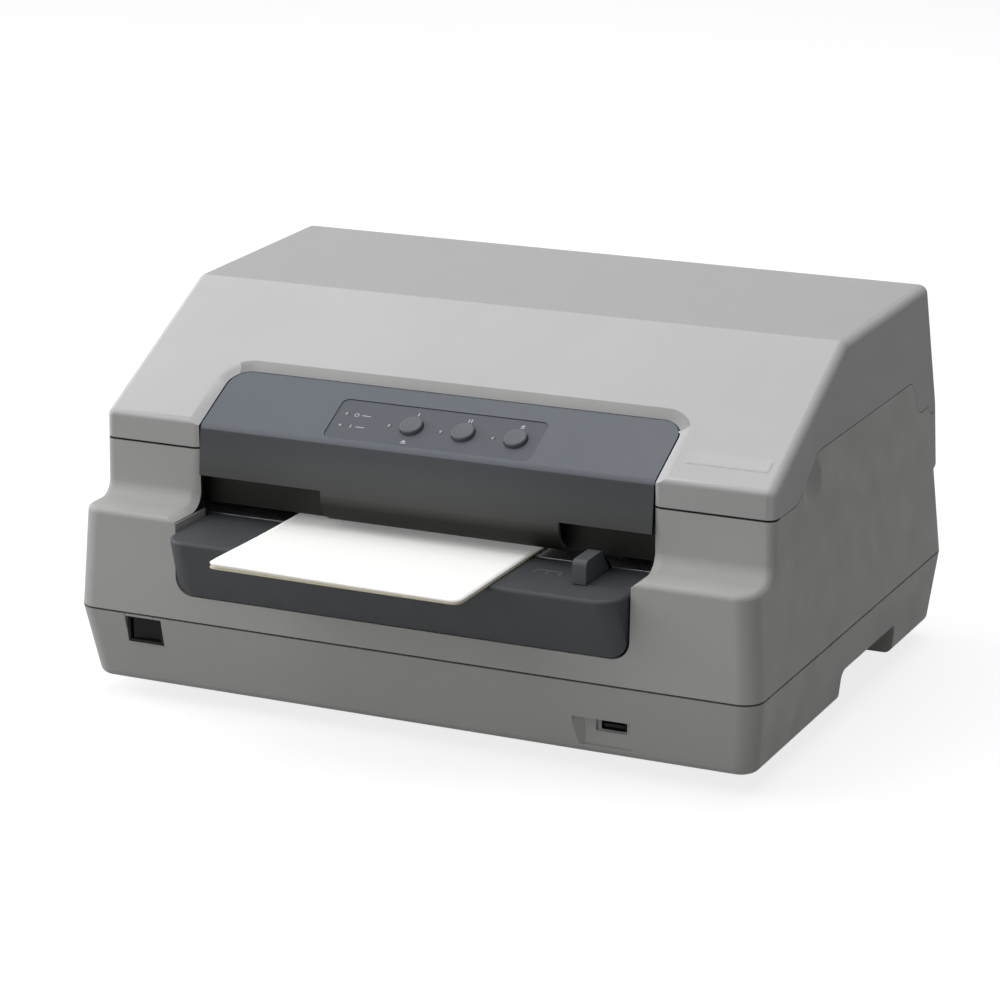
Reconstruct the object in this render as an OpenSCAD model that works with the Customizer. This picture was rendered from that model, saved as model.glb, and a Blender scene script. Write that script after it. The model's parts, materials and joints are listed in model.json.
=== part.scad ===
// Flatbed dot matrix printer for passbooks and slips, with a rear-hinged cover.
// X runs to the right, Y to the back and Z up; the feet stand on Z = 0.

/* [Case] */
// Width of the case at the lower seam
case_w = 384; // [374:1:400]
// Depth of the case at the lower seam
case_d = 280; // [276:1:292]
// Height of the closed printer above the surface it stands on
case_h = 203; // [200:0.5:212]
// Wall thickness of the mouldings
wall = 2.6; // [2:0.1:3.2]
// Clear height under the lower case
foot_gap = 10; // [8:0.5:12]
// Height of the lower case
lower_h = 40; // [38:0.5:42]
// Height of the middle case at its front band
middle_h = 84.5; // [82:0.5:88]
// Gap at the seam between the lower and the middle case
lower_seam_gap = 0.35; // [0.2:0.05:0.6]
// Gap at the seam under the cover
cover_seam_gap = 0.5; // [0.3:0.05:0.8]

/* [Lower case] */
// Plan radius of the upright corners
corner_r = 10.7; // [9:0.1:13]
// Radius of the bottom edge
base_edge_r = 5; // [3:0.25:6]
// Draft of each side over the height of the lower case
lower_draft_side = 4.3; // [2:0.1:6]
// Draft of the front
lower_draft_front = 7; // [4:0.1:9]
// Draft of the back
lower_draft_back = 5; // [3:0.1:8]
// Front edge of the side hand grip, behind the middle of the case
grip_front = -13; // [-20:1:-5]
// Length of the side hand grip
grip_l = 82; // [70:1:90]
// Height of the grip's roof above the underside
grip_h = 17; // [14:0.5:20]
// Depth of the grip into the side
grip_depth = 22; // [16:0.5:25]
// Radius of the grip's corners
grip_r = 5; // [3:0.5:7]
// Length of the shallow notch in the front's lower edge
notch_l = 63; // [50:1:80]
// Height of the notch
notch_h = 2.2; // [1.4:0.1:2.4]
// Sideways place of the notch
notch_x = -19.5; // [-40:0.5:10]

/* [Middle case] */
// Height of the front shoulder above the lower seam
shoulder_h = 54.6; // [52:0.2:57]
// Edge radius of the shoulder
shoulder_r = 3.5; // [2:0.25:4.5]
// Inset of the shoulder's sides from the full width
shoulder_side = 3.5; // [2:0.1:5]
// Inset of the shoulder's front edge
shoulder_front = 3; // [2:0.1:5]
// Inset of the back at the shoulder's height
shoulder_back = 4; // [2:0.1:6]
// Distance from the case front back to the upright front band
band_setback = 29; // [26:0.5:32]
// Fillet between the shoulder and the band
shoulder_fillet_r = 8; // [5:0.5:10]
// Rise of the side seam behind the front band
side_rise = 20; // [14:0.5:24]
// Start of the rise behind the case front
rise_start = 58; // [52:1:64]
// End of the rise behind the case front
rise_end = 95; // [90:1:100]
// Start of the drop behind the case front
drop_start = 228; // [222:1:230]
// End of the drop behind the case front
drop_end = 245; // [243:1:247]
// Depth of the finger scoop in each side
scoop_depth = 3; // [2:0.25:4]
// Radius of the ball that shapes the scoop
scoop_r = 30; // [24:1:36]

/* [Cover] */
// Edge radius of the cover
cover_r = 5; // [4:0.25:6]
// Height of the cover's front band
cover_band_h = 14.9; // [12:0.1:18]
// Distance from the case front to the ridge between slope and top
ridge_setback = 130.6; // [124:0.2:136]
// Fall of the top from the back to the ridge
ridge_drop = 1.7; // [0:0.1:3]
// Distance from the case back to the top's rear edge
top_back = 24; // [20:0.5:28]
// Distance from the case back to the foot of the cover's rear wall
cover_back = 7; // [6:0.25:8]
// Distance of the hinge line in front of the case back
hinge_back = 14.5; // [14:0.25:15]
// Height of the hinge line above the cover seam
hinge_up = 3; // [2.5:0.1:3.5]
// Diameter of the hinge pins
hinge_pin_d = 4; // [3.4:0.1:4.2]
// Running clearance of a pin or shaft in its bore, on the radius
run_gap = 0.05; // [0.02:0.01:0.1]

/* [Mouth] */
// Sideways place of the mouth and its cut-out
mouth_x = -3.4; // [-6:0.2:0]
// Width of the cut-out in the cover and the band
mouth_w = 257.4; // [250:0.2:260]
// Width of the lower part of the mouth, round the table
table_mouth_w = 256; // [250:0.5:256.5]
// Height of the mouth's lower edge above the lower seam
mouth_floor_h = 14; // [12:0.5:16]
// Corner radius at the bottom of the mouth
mouth_floor_r = 10; // [6:0.5:14]
// Length of the cut-out up the cover's slope
mouth_slope = 44.3; // [42:0.1:46]
// Corner radius at the top of the cut-out
mouth_top_r = 12; // [9:0.5:15]
// Width of the bevelled frame round the cut-out
bevel_w = 5.6; // [4:0.2:7]
// Depth of the bevelled frame
bevel_depth = 2.6; // [2:0.1:3.2]

/* [Control panel] */
// Gap between the control panel and the cut-out
panel_gap = 0.8; // [0.5:0.1:1.2]
// Thickness of the control panel moulding
panel_t = 2.4; // [2:0.1:3]
// Height of the panel's lower edge above the lower seam
panel_low_h = 71; // [69:0.5:74]
// Forward lean of the upright face, from the bend to the lower edge
panel_lean = 3; // [1:0.25:4]
// Radius of the bend between slope and face
panel_bend_r = 5; // [3:0.5:7]
// Width of the recess for the keys
recess_w = 117; // [110:0.5:122]
// Height of the recess along the slope
recess_h = 29.5; // [27:0.5:31]
// Place of the recess up the slope, at its middle
recess_v = 17.6; // [17:0.2:18.5]
// Sideways place of the recess
recess_x = -3; // [-8:0.5:2]
// Depth of the recess
recess_depth = 0.9; // [0.5:0.1:1.2]
// Corner radius of the recess
recess_r = 4; // [2:0.5:6]
// Diameter of the keys
key_d = 12; // [10:0.25:13]
// Distance between the keys
key_pitch = 29.3; // [27:0.1:31]
// Place of the first key, from the middle of the recess
key_first = -13.3; // [-15:0.1:-12]
// Height of a key above the recess
key_up = 2.4; // [1.6:0.1:3]
// Travel of a key
key_travel = 0.8; // [0.4:0.1:1]
// Gap round a key
key_gap = 0.35; // [0.2:0.05:0.5]
// Diameter of a status light
light_d = 2.2; // [1.8:0.1:3]
// Width of the middle lip below the panel
lip_w = 134; // [120:1:150]
// Sideways place of the lip
lip_x = 7; // [0:1:10]
// Radius of the lip's roll
lip_r = 15; // [12:0.5:16]

/* [Paper path] */
// Height of the paper path above the lower seam
path_h = 48; // [47:0.25:50]
// Reach of the table in front of the case
table_reach = 13.5; // [10:0.5:16]
// Gap between the table and the sides of its mouth
table_gap = 1; // [0.5:0.1:1.5]
// Distance from the case front to the table's rear edge
table_back = 37; // [35:0.5:39]
// Thickness of the table's skin
table_t = 2.5; // [2:0.1:3]
// Corner radius of the table in plan
table_r = 13; // [9:0.5:16]
// Width of the edge guide
guide_w = 7.6; // [6:0.2:10]
// Length of the edge guide
guide_l = 25; // [20:0.5:28]
// Height of the edge guide
guide_h = 12.5; // [9:0.25:14]
// Sideways place of the edge guide
guide_x = 95.5; // [88:0.5:102]
// Travel of the edge guide, each way
guide_travel = 14; // [8:1:15]
// Width of the passbook
book_w = 140; // [125:1:150]
// Length of the passbook
book_l = 172; // [160:1:180]
// Thickness of the passbook
book_t = 2.6; // [1.4:0.1:3]
// Reach of the passbook in front of the case
book_reach = 47; // [40:1:52]
// Sideways place of the passbook
book_x = -14; // [-24:1:-6]
// Corner radius of the passbook
book_r = 7; // [3:0.5:9]

/* [Mechanism] */
// Distance between the side frames, inside
frame_inner_w = 312; // [306:1:318]
// Sheet thickness of the steel frame
sheet_t = 1.6; // [1.2:0.1:2]
// Distance of each feed shaft from the print line
feed_half = 60; // [58:0.5:62]
// Distance of the print line behind the middle of the case
print_line = 2; // [0:0.5:4]
// Diameter of the driven rollers
feed_roller_d = 15.2; // [14:0.2:16]
// Diameter of the pinch rollers
pinch_roller_d = 12; // [10:0.2:13]
// Diameter of the roller shafts
feed_shaft_d = 6; // [5:0.2:7]
// Width of each roller
roller_w = 20; // [16:1:24]
// Distance between rollers along a shaft
roller_pitch = 66; // [60:1:70]
// Face width of the feed gears
gear_w = 6; // [5:0.25:7]
// Diameter of the carriage shafts
rod_d = 8; // [7:0.25:9]
// Width of the carriage
carriage_w = 46; // [42:1:52]
// Travel of the carriage, each way
carriage_travel = 84; // [60:1:88]
// Outer diameter of the belt pulleys
pulley_d = 16; // [14:0.5:18]
// Size of the carriage and feed motors
motor_d = 36; // [32:1:38]
// Height of the motors' cans
motor_l = 22; // [18:0.5:24]

/* [Front ports] */
// Width of the power switch
switch_w = 21.4; // [20:0.2:23]
// Height of the power switch
switch_h = 14.8; // [12:0.2:15.4]
// Distance of the power switch from the left side of the case
switch_inset = 40.4; // [38:0.2:44]
// Strip of the lower case between the power switch and the seam
switch_drop = 1.6; // [1.4:0.1:3]
// Width of the middle case's tab above the power switch
tab_w = 16.4; // [12:0.2:18]
// Width of the recess round the front port
port_recess_w = 32; // [30:0.5:34]
// Height of the recess round the front port
port_recess_h = 15.5; // [14:0.5:16]
// Distance of the port recess right of the middle
port_x = 108.5; // [104:0.5:112]
// Height of the recess's middle above the underside
port_z = 12.6; // [12:0.2:14]

/* [Hidden] */
round_fn = 32;
fine_fn = 64;
eps = 0.01;

// Heights
seam_z = foot_gap + lower_h;
band_z = seam_z + middle_h;
shoulder_z = seam_z + shoulder_h;
mouth_z = seam_z + mouth_floor_h;
path_z = seam_z + path_h;
// Depths; the case is centred on Y = 0 and the whole is moved once, by placed()
front_y = -case_d / 2;
back_y = case_d / 2;
band_y = front_y + band_setback;
frame_y = book_reach / 2;
// Side profile of the upper body, as [y, z] corners, counter-clockwise
upper_foot_z = shoulder_z - 10;
bend = [band_y + 1.7, band_z + cover_band_h];
ridge = [front_y + ridge_setback, case_h - ridge_drop];
upper_profile = [
    [band_y, upper_foot_z],
    [back_y - shoulder_back, upper_foot_z],
    [back_y - cover_back, band_z],
    [back_y - top_back, case_h],
    ridge,
    bend
];
slope_a = atan2(ridge[1] - bend[1], ridge[0] - bend[0]);
function upper_half(z) = case_w / 2 - shoulder_side - (z - shoulder_z) * 0.01;
// Hinge of the cover
hinge = [back_y - hinge_back, band_z + hinge_up];
ear_r = norm([hinge_back - cover_back, hinge_up - cover_seam_gap]);
groove_r = ear_r + 0.4;
// Control panel, measured on its own face
panel_half = mouth_w / 2 - panel_gap;
panel_bend = bend + bevel_depth * [sin(slope_a), -cos(slope_a)];
panel_top_v = mouth_slope - panel_gap;
panel_low = [panel_bend[0] - panel_lean, seam_z + panel_low_h];
overlay_t = 0.5;
light_x = -12.4;
board_drop = 9;
// Paper path
seat_gap = 0.3;
book_z = path_z + seat_gap;
ribbon_z = book_z + book_t + 0.4;
ribbon_t = 0.3;
nose_z = ribbon_z + ribbon_t + 0.4;
plate_z = path_z - 0.2;
feed_z = path_z - feed_roller_d / 2;
pinch_z = book_z + book_t + seat_gap + pinch_roller_d / 2;
pinch_shaft_d = 5;
table_w = table_mouth_w - 2 * table_gap;
table_y = front_y - table_reach;
table_rear_y = front_y + table_back;
guide_slot = 3.2;
plate_front_y = table_rear_y + guide_slot;
// Frame
frame_x = frame_inner_w / 2;
frame_out = frame_x + sheet_t;
chassis_up = 6;
chassis_z = seam_z + chassis_up;
chassis_top = chassis_z + sheet_t;
chassis_front_inset = 40;
chassis_back_inset = 22;
chassis_front = front_y + chassis_front_inset;
chassis_back = back_y - chassis_back_inset;
flange_h = 7;
window_pitch = 90;
window_w = 36;
window_l = 36;
window_gap = 62;
post_x = 140;
post_front = 84;
post_back = 96;
post_d = 10;
post_at = [for (x = [-post_x, post_x], y = [-post_front, post_back]) [x, y]];
foot_d = 18;
foot_inset_x = 40;
foot_inset_y = 52;
foot_at = [for (x = [-1, 1], y = [-1, 1]) [x * (case_w / 2 - foot_inset_x), y * (case_d / 2 - foot_inset_y)]];
stay_z = plate_z - sheet_t;
stay_setback = 31;
stay_up = 22;
upper_stay_y = band_y + stay_setback;
upper_stay_d = 14;
upper_stay_z = shoulder_z + stay_up;
front_feed_y = print_line - feed_half;
rear_feed_y = print_line + feed_half;
bush_d = 10;
// Feed gears, on the left of the left side frame
gear_x = -(frame_out + 2);
pinion_n = 12;
idler_n = 32;
feed_n = 24;
motor_z = chassis_top + sheet_t + motor_d / 2 + 0.4;
gear_span = norm([feed_half, feed_z - motor_z]);
gear_m = 1.014 * gear_span / (pinion_n / 2 + idler_n + feed_n / 2);
pinion_reach = gear_m * (pinion_n + idler_n) / 2;
feed_reach = gear_m * (feed_n + idler_n) / 2;
// Carriage
front_rod_off = 24;
front_rod_up = 44;
rear_rod_off = 34;
rear_rod_up = 36;
belt_off = 58;
bracket_up = 38;
front_rod = [print_line - front_rod_off, path_z + front_rod_up];
rear_rod = [print_line + rear_rod_off, path_z + rear_rod_up];
pulley_x = frame_x - motor_d / 2 - 1;
pulley_y = print_line + belt_off;
bracket_z = path_z + bracket_up;
belt_z = bracket_z + sheet_t + 2.4;
belt_h = 6;
belt_t = 1.2;
carriage_up = 28;
carriage_h = 24;
carriage_z = path_z + carriage_up;
carriage_top = carriage_z + carriage_h;
cartridge_up = 20;
cartridge_h = 32;
cartridge_reach = 5;
cartridge_gap = 5.5;
cartridge_end = 6;
cartridge = [front_feed_y - cartridge_reach, front_rod[0] - rod_d / 2 - cartridge_gap];
cartridge_z = path_z + cartridge_up;
cartridge_half = frame_x - cartridge_end;
peg = [(cartridge[0] + cartridge[1]) / 2, cartridge_z + cartridge_h / 2];
knob_inset = 50;
knob_x = knob_inset - cartridge_half;
// Lower case fittings
switch_x = case_w / 2 - switch_inset;
switch_cz = seam_z - switch_drop - switch_h / 2;
tab_x = [-switch_x - switch_w / 2, -switch_x - switch_w / 2 + tab_w];
tab_gap = 0.3;
port_cz = foot_gap + port_z;
inlet_x = 105;
inlet_w = 27.6;
inlet_h = 20;
rear_up = 21;
rear_z = foot_gap + rear_up;
serial_x = -122;
parallel_x = -64;
usb_x = -10;
board_up = 8;
board_z = foot_gap + wall + board_up;
board_t = 1.6;
port_depth = 1.6;
port_face_y = back_y - port_depth;

// The whole printer stands with the middle of its outer box on the origin
module placed() translate([0, frame_y, 0]) children();

// A ring of points on an arc, as [y, z] or [x, y]
function arc(c, r, a0, a1, n = 8) =
    [for (i = [0 : n]) c + r * [cos(a0 + (a1 - a0) * i / n), sin(a0 + (a1 - a0) * i / n)]];
// Inward normal of a side of a counter-clockwise outline
function inward(a, b) = let (d = b - a) [-d[1], d[0]] / norm(d);
// The centre of a ball of radius r that touches both sides of corner i
function corner_centre(p, i, r) =
    let (
        n = len(p),
        a = inward(p[(i + n - 1) % n], p[i]),
        b = inward(p[i], p[(i + 1) % n])
    ) p[i] + r * (a + b) / (1 + a * b);

// Extrudes an outline drawn in [y, z] along X, centred
module along_x(length) rotate([90, 0, 90]) linear_extrude(length, center = true) children();
// Extrudes an outline drawn in [x, z] towards the back, from y
module along_y(y, length) translate([0, y + length, 0]) rotate([90, 0, 0]) linear_extrude(length) children();
// Stands children on the cover's slope: X, up the slope, and out of it
module on_slope(origin, x = 0, v = 0, w = 0)
    translate([0, origin[0], origin[1]]) rotate([slope_a, 0, 0]) translate([x, v, w]) children();
// A rod or hole along X
module rod_x(d, x0, x1, y, z, fn = fine_fn)
    translate([x0, y, z]) rotate([0, 90, 0]) cylinder(d = d, h = x1 - x0, $fn = fn);
module box(x0, x1, y0, y1, z0, z1) translate([x0, y0, z0]) cube([x1 - x0, y1 - y0, z1 - z0]);
// A flat outline with rounded corners, from exact circles
module rounded(x0, x1, y0, y1, r) {
    translate([x0 + r, y0]) square([x1 - x0 - 2 * r, y1 - y0]);
    translate([x0, y0 + r]) square([x1 - x0, y1 - y0 - 2 * r]);
    for (x = [x0 + r, x1 - r], y = [y0 + r, y1 - r])
        translate([x, y]) circle(r, $fn = fine_fn);
}

// The cover and the upper part of the case are one rounded body, cut at the seam
module upper_body(grow = 0, fn = round_fn) hull()
    for (i = [0 : len(upper_profile) - 1], s = [-1, 1])
        let (c = corner_centre(upper_profile, i, cover_r), z = upper_profile[i][1])
            translate([s * (upper_half(z) - cover_r), c[0], c[1]]) sphere(cover_r + grow, $fn = fn);

// A moulded block between a sharp rim and an edge with a radius; rim and edge are [half width, front, back]
module moulded_block(rim, rim_z, edge, edge_z, edge_r, grow = 0, fn = round_fn) {
    turn = edge_z > rim_z ? -1 : 1;
    hull() {
        for (x = [-1, 1], y = [rim[1] + corner_r, rim[2] - corner_r])
            translate([x * (rim[0] - corner_r), y, rim_z])
                cylinder(r = corner_r + grow, h = eps, center = true, $fn = fn);
        for (x = [-1, 1], y = [edge[1] + corner_r, edge[2] - corner_r])
            translate([x * (edge[0] - corner_r), y, edge_z + turn * edge_r])
                rotate_extrude($fn = fn)
                    translate([corner_r - edge_r, 0]) circle(edge_r + grow, $fn = fn);
    }
}
module lower_block(grow = 0, over = 0, fn = round_fn) moulded_block(
    [case_w / 2, front_y, back_y], seam_z - lower_seam_gap + over,
    [case_w / 2 - lower_draft_side, front_y + lower_draft_front, back_y - lower_draft_back],
    foot_gap, base_edge_r, grow, fn);
module middle_block(grow = 0, over = 0, fn = round_fn) moulded_block(
    [case_w / 2, front_y, back_y], seam_z - over,
    [case_w / 2 - shoulder_side, front_y + shoulder_front, back_y - shoulder_back],
    shoulder_z, shoulder_r, grow, fn);

// The seam between case and cover, seen from the side; up lifts it by a gap
function seam_line(up = 0) = concat(
    [[front_y - 5, band_z + up]],
    [for (i = [0 : 12]) [
        front_y + rise_start + (rise_end - rise_start) * i / 12,
        band_z + up + side_rise * (1 - cos(15 * i)) / 2
    ]],
    [for (i = [0 : 12]) [
        front_y + drop_start + (drop_end - drop_start) * i / 12,
        band_z + up + side_rise * (1 + cos(15 * i)) / 2
    ]],
    [[back_y + 5, band_z + up]]
);
module below_seam(up = 0) along_x(case_w + 20)
    polygon(concat([[front_y - 5, upper_foot_z - 5]], seam_line(up), [[back_y + 5, upper_foot_z - 5]]));

// The cut-out's outline in the cover's slope, grown by g
module mouth_outline(g = 0)
    rounded(-mouth_w / 2 - g, mouth_w / 2 + g, -mouth_slope, mouth_slope + g, mouth_top_r + g);
// How far the bevel's cut runs on past its two edges, as shares of its size
bevel_below = -1.1;
bevel_above = 0.4;
// Section of the bevel's cut, from the cut-out's edge outwards
module bevel_section() polygon([
    [bevel_below * bevel_w, bevel_above * bevel_depth],
    [(1 + bevel_below) * bevel_w, bevel_below * bevel_depth],
    [(1 + bevel_above) * bevel_w, bevel_above * bevel_depth]
]);
// The bevel round the cut-out: flats along its sides and top, cones in its corners
module mouth_bevel() {
    corner = [mouth_w / 2 - mouth_top_r, mouth_slope - mouth_top_r];
    for (s = [0, 1]) mirror([s, 0, 0]) {
        translate([mouth_w / 2, corner[1], 0]) rotate([90, 0, 0]) linear_extrude(corner[1] + mouth_slope)
            bevel_section();
        translate([corner[0], corner[1], bevel_below * bevel_depth]) cylinder(
            r1 = mouth_top_r + (1 + bevel_below) * bevel_w,
            r2 = mouth_top_r + (1 + bevel_above) * bevel_w,
            h = (bevel_above - bevel_below) * bevel_depth, $fn = fine_fn);
    }
    translate([-corner[0], mouth_slope, 0]) rotate([90, 0, 90]) linear_extrude(2 * corner[0]) bevel_section();
}
// The bevelled jambs of the mouth, where they stand upright
module jamb_bevels(z0, z1) for (s = [-1, 1]) translate([mouth_x, 0, z0]) linear_extrude(z1 - z0)
    polygon([
        [s * (mouth_w / 2 - 1), band_y - 1],
        [s * (mouth_w / 2 + bevel_w + bevel_w / bevel_depth), band_y - 1],
        [s * (mouth_w / 2 + bevel_w), band_y],
        [s * mouth_w / 2, band_y + bevel_depth],
        [s * (mouth_w / 2 - 1), band_y + bevel_depth]
    ]);

module lower_case() color("#7f7f7d") placed() {
    grip_y = grip_front;
    difference() {
        union() {
            difference() {
                lower_block();
                difference() {
                    lower_block(-wall, 1, 20);
                    for (s = [-1, 1]) translate([s * case_w / 2, 0, 0])
                        box(-grip_depth - wall, grip_depth + wall, grip_y - wall, grip_y + grip_l + wall,
                            foot_gap - 1, foot_gap + grip_h + wall);
                    port_block(wall, front_y - 1, front_y + 14);
                    switch_block(wall, front_y - 1, front_y + 8);
                }
            }
            for (p = post_at) translate([p[0], p[1], foot_gap + 1])
                cylinder(d = post_d, h = chassis_z - foot_gap - 1, $fn = round_fn);
            for (p = foot_at) translate([p[0], p[1], foot_gap / 2])
                cylinder(d = foot_d + 3, h = foot_gap / 2 + 1, $fn = fine_fn);
            board_posts();
        }
        // Hand grips, open to the underside
        for (s = [-1, 1]) translate([s * case_w / 2, 0, 0]) rotate([90, 0, 90])
            linear_extrude(2 * grip_depth, center = true)
                rounded(grip_y, grip_y + grip_l, foot_gap - 20, foot_gap + grip_h, grip_r);
        // Shallow notch with sloping ends in the lower edge of the front
        along_y(front_y - 1, lower_draft_front + 1 + wall) polygon([
            [notch_x - notch_l / 2 - 2 * notch_h, foot_gap - notch_h],
            [notch_x + notch_l / 2 + 4 * notch_h, foot_gap - notch_h],
            [notch_x + notch_l / 2, foot_gap + notch_h],
            [notch_x - notch_l / 2, foot_gap + notch_h]
        ]);
        // Recess of the front port, with a second step round the socket
        port_recess();
        // Opening of the power switch and the shallow step below it
        switch_block(0, front_y - 1, front_y + 20);
        translate([-switch_x, 0, 0]) switch_step();
        box(tab_x[0] - tab_gap, tab_x[1] + tab_gap, front_y - 1, front_y + 2 * wall, switch_cz, seam_z + 1);
        // Openings at the back
        rear_opening(inlet_x, inlet_w + 0.6, inlet_h + 0.6);
        rear_opening(serial_x, 32, 13);
        rear_opening(parallel_x, 60, 14);
        rear_opening(usb_x, 13, 12);
        // Screw holes in the posts, foot pockets and vents in the floor
        for (p = post_at) translate([p[0], p[1], chassis_z - 12]) cylinder(d = 3.1, h = 13, $fn = round_fn);
        for (p = foot_at) translate([p[0], p[1], foot_gap / 2 - 1])
            cylinder(d = foot_d + 0.1, h = 1.8, $fn = fine_fn);
        for (i = [0 : 8]) translate([inlet_x - 32 + 8 * i, 20, foot_gap - 1])
            linear_extrude(wall + 2) rounded(-1.5, 1.5, -24, 24, 1.4);
    }
}
module port_block(g, y0, y1)
    box(port_x - port_recess_w / 2 - g, port_x + port_recess_w / 2 + g, y0, y1,
        port_cz - port_recess_h / 2 - g, port_cz + port_recess_h / 2 + g);
port_step = [12.2, 7.8];
port_step_x = port_x + 4;
port_step_z = port_cz + 3.7;
module port_recess() {
    y1 = front_y + 9;
    translate([0, 0, port_cz - port_recess_h / 2]) linear_extrude(port_recess_h)
        polygon([
            [port_x - port_recess_w / 2, front_y - 1],
            [port_x + port_recess_w / 2, front_y - 1],
            [port_x + port_recess_w / 2 - 1, y1],
            [port_x - port_recess_w / 2 + 5, y1],
            [port_x - port_recess_w / 2, front_y + 5]
        ]);
    box(port_step_x - port_step[0] / 2 - 3, port_step_x + port_step[0] / 2 + 1.5, front_y, y1 + 1.5,
        port_step_z - port_step[1] / 2, port_step_z + port_step[1] / 2);
    box(port_step_x - 6.9, port_step_x + 6.9, front_y, front_y + 20, port_step_z - 3.3, port_step_z + 3.3);
}
module switch_block(g, y0, y1)
    box(-switch_x - switch_w / 2 - g, -switch_x + switch_w / 2 + g, y0, y1,
        switch_cz - switch_h / 2 - g, switch_cz + switch_h / 2 + g);
// A shallow flat round the power switch, with an upright groove at its left
step_depth = 0.5;
groove_depth = 1;
module switch_step() {
    face = front_y + lower_draft_front;
    step_z = switch_cz - switch_h / 2 - foot_gap - 8;
    translate([0, 0, foot_gap]) rotate([-atan2(lower_draft_front, lower_h), 0, 0]) {
        box(-switch_w / 2 - 7.5, switch_w / 2 + 6, face - 3, face + step_depth, step_z, lower_h + 5);
        box(-switch_w / 2 - 11.2, -switch_w / 2 - 9.2,
            face - 3, face + groove_depth, step_z, lower_h - switch_drop);
    }
}
module rear_opening(x, w, h) along_y(back_y - 12, 20) translate([x, rear_z])
    rounded(-w / 2, w / 2, -h / 2, h / 2, 1);
board_post_at = [for (x = [-158, -4], y = [-64, 100]) [x, y]];
module board_posts() for (p = board_post_at) translate([p[0], p[1], foot_gap + 1])
    cylinder(d = 7, h = board_z - foot_gap - 1, $fn = round_fn);

module middle_case() color("#8f8f8d") placed() {
    lining = mouth_w / 2 + wall + 0.6;
    difference() {
        union() {
            difference() {
                union() {
                    middle_block();
                    intersection() {
                        upper_body();
                        below_seam();
                    }
                    shoulder_fillets();
                }
                difference() {
                    union() {
                        middle_block(-wall, 1, 20);
                        upper_body(-wall, 20);
                    }
                    box(mouth_x - lining, mouth_x + lining, front_y, band_y + 5, mouth_z - wall, case_h);
                    scoops(wall);
                }
            }
            hinge_arms();
            switch_tab();
        }
        // The mouth, wider above the shoulder
        translate([mouth_x, 0, 0]) {
            along_y(front_y - 1, band_setback + 8)
                rounded(-table_mouth_w / 2, table_mouth_w / 2, mouth_z, case_h, mouth_floor_r);
            box(-mouth_w / 2, mouth_w / 2, front_y - 1, band_y + 8, shoulder_z - bevel_depth - 0.5, case_h);
        }
        jamb_bevels(shoulder_z + shoulder_fillet_r, band_z + 1);
        shoulder_bevels();
        // Room for the cover's rear wall and ears to turn
        rod_x(2 * groove_r, -case_w / 2 - 1, case_w / 2 + 1, hinge[0], hinge[1]);
        // Finger scoops under the rise of the side seam
        scoops();
        // Paper exit and cooling slots in the back
        along_y(back_y - 14, 20) rounded(-130, 130, path_z - 3, path_z + 11, 3);
        for (i = [0 : 15], s = [-1, 1]) along_y(back_y - 14, 20) translate([s * (30 + 8 * i), seam_z + 22])
            rounded(-1.6, 1.6, -12, 12, 1.5);
    }
    hinge_arm_cores();
}
// The tab that closes the power switch's opening from above
module switch_tab() translate([tab_x[0], 0, 0]) rotate([90, 0, 90]) linear_extrude(tab_w)
    polygon([
        [front_y + lower_draft_front * switch_drop / lower_h, seam_z - switch_drop],
        [front_y + wall - 0.4, seam_z - switch_drop],
        [front_y + wall - 0.4, seam_z + 1],
        [front_y + 1, seam_z + 1],
        [front_y, seam_z]
    ]);
module scoops(grow = 0) for (s = [-1, 1])
    translate([
        s * (upper_half(band_z) + scoop_r - scoop_depth),
        front_y + (rise_start + rise_end) / 2 + 6,
        band_z + 6
    ]) sphere(scoop_r + grow, $fn = fine_fn);
module shoulder_fillets() for (s = [-1, 1]) {
    x0 = mouth_w / 2 + s * mouth_x - 0.5;
    x1 = upper_half(shoulder_z) - 0.6;
    r = shoulder_fillet_r;
    translate([s * (x0 + x1) / 2, 0, 0]) difference() {
        along_x(x1 - x0) translate([band_y - r, shoulder_z - 2]) square([r + 1.5, r + 2]);
        along_x(x1 - x0 + 1) translate([band_y - r, shoulder_z + r]) circle(r, $fn = 96);
    }
}
// The bevel runs on along the shoulder, and turns up into the jamb over the fillet
module shoulder_bevels() for (s = [0, 1]) translate([mouth_x, 0, 0]) mirror([s, 0, 0]) {
    r = shoulder_fillet_r;
    translate([mouth_w / 2, 0, shoulder_z]) along_y(front_y - 1, band_setback + 1 - r) bevel_section();
    translate([mouth_w / 2 + (1 + bevel_below) * bevel_w, band_y - r, shoulder_z + r]) rotate([0, 90, 0])
        cylinder(r1 = r - bevel_below * bevel_depth, r2 = r - bevel_above * bevel_depth,
            h = (bevel_above - bevel_below) * bevel_w, $fn = fine_fn);
}
// Arms inside the case that hold the hinge pins; the ears of the cover turn outside them
arm_x = upper_half(band_z) - wall - 3.6;
arm_w = 10;
arm_r = 3.7;
module hinge_arms() for (s = [0, 1]) mirror([s, 0, 0]) translate([upper_half(band_z) - wall - 1.5, 0, 0])
    box(-(arm_w + 2), wall, hinge[0] - 28, hinge[0] - 14, band_z - 16, band_z - 3);
module hinge_arm_cores() for (s = [-1, 1]) translate([s * (arm_x - arm_w / 2), 0, 0]) difference() {
    union() {
        along_x(arm_w) polygon([
            [hinge[0] - 20, band_z - 3],
            [hinge[0] - 20, band_z - 16],
            [hinge[0] - 14.5, band_z - 16],
            hinge + arm_r * [cos(-60), sin(-60)],
            hinge + arm_r * [cos(110), sin(110)]
        ]);
        rod_x(2 * arm_r, -arm_w / 2, arm_w / 2, hinge[0], hinge[1]);
    }
    rod_x(hinge_pin_d + 2 * run_gap, -arm_w, arm_w, hinge[0], hinge[1]);
}

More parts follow.
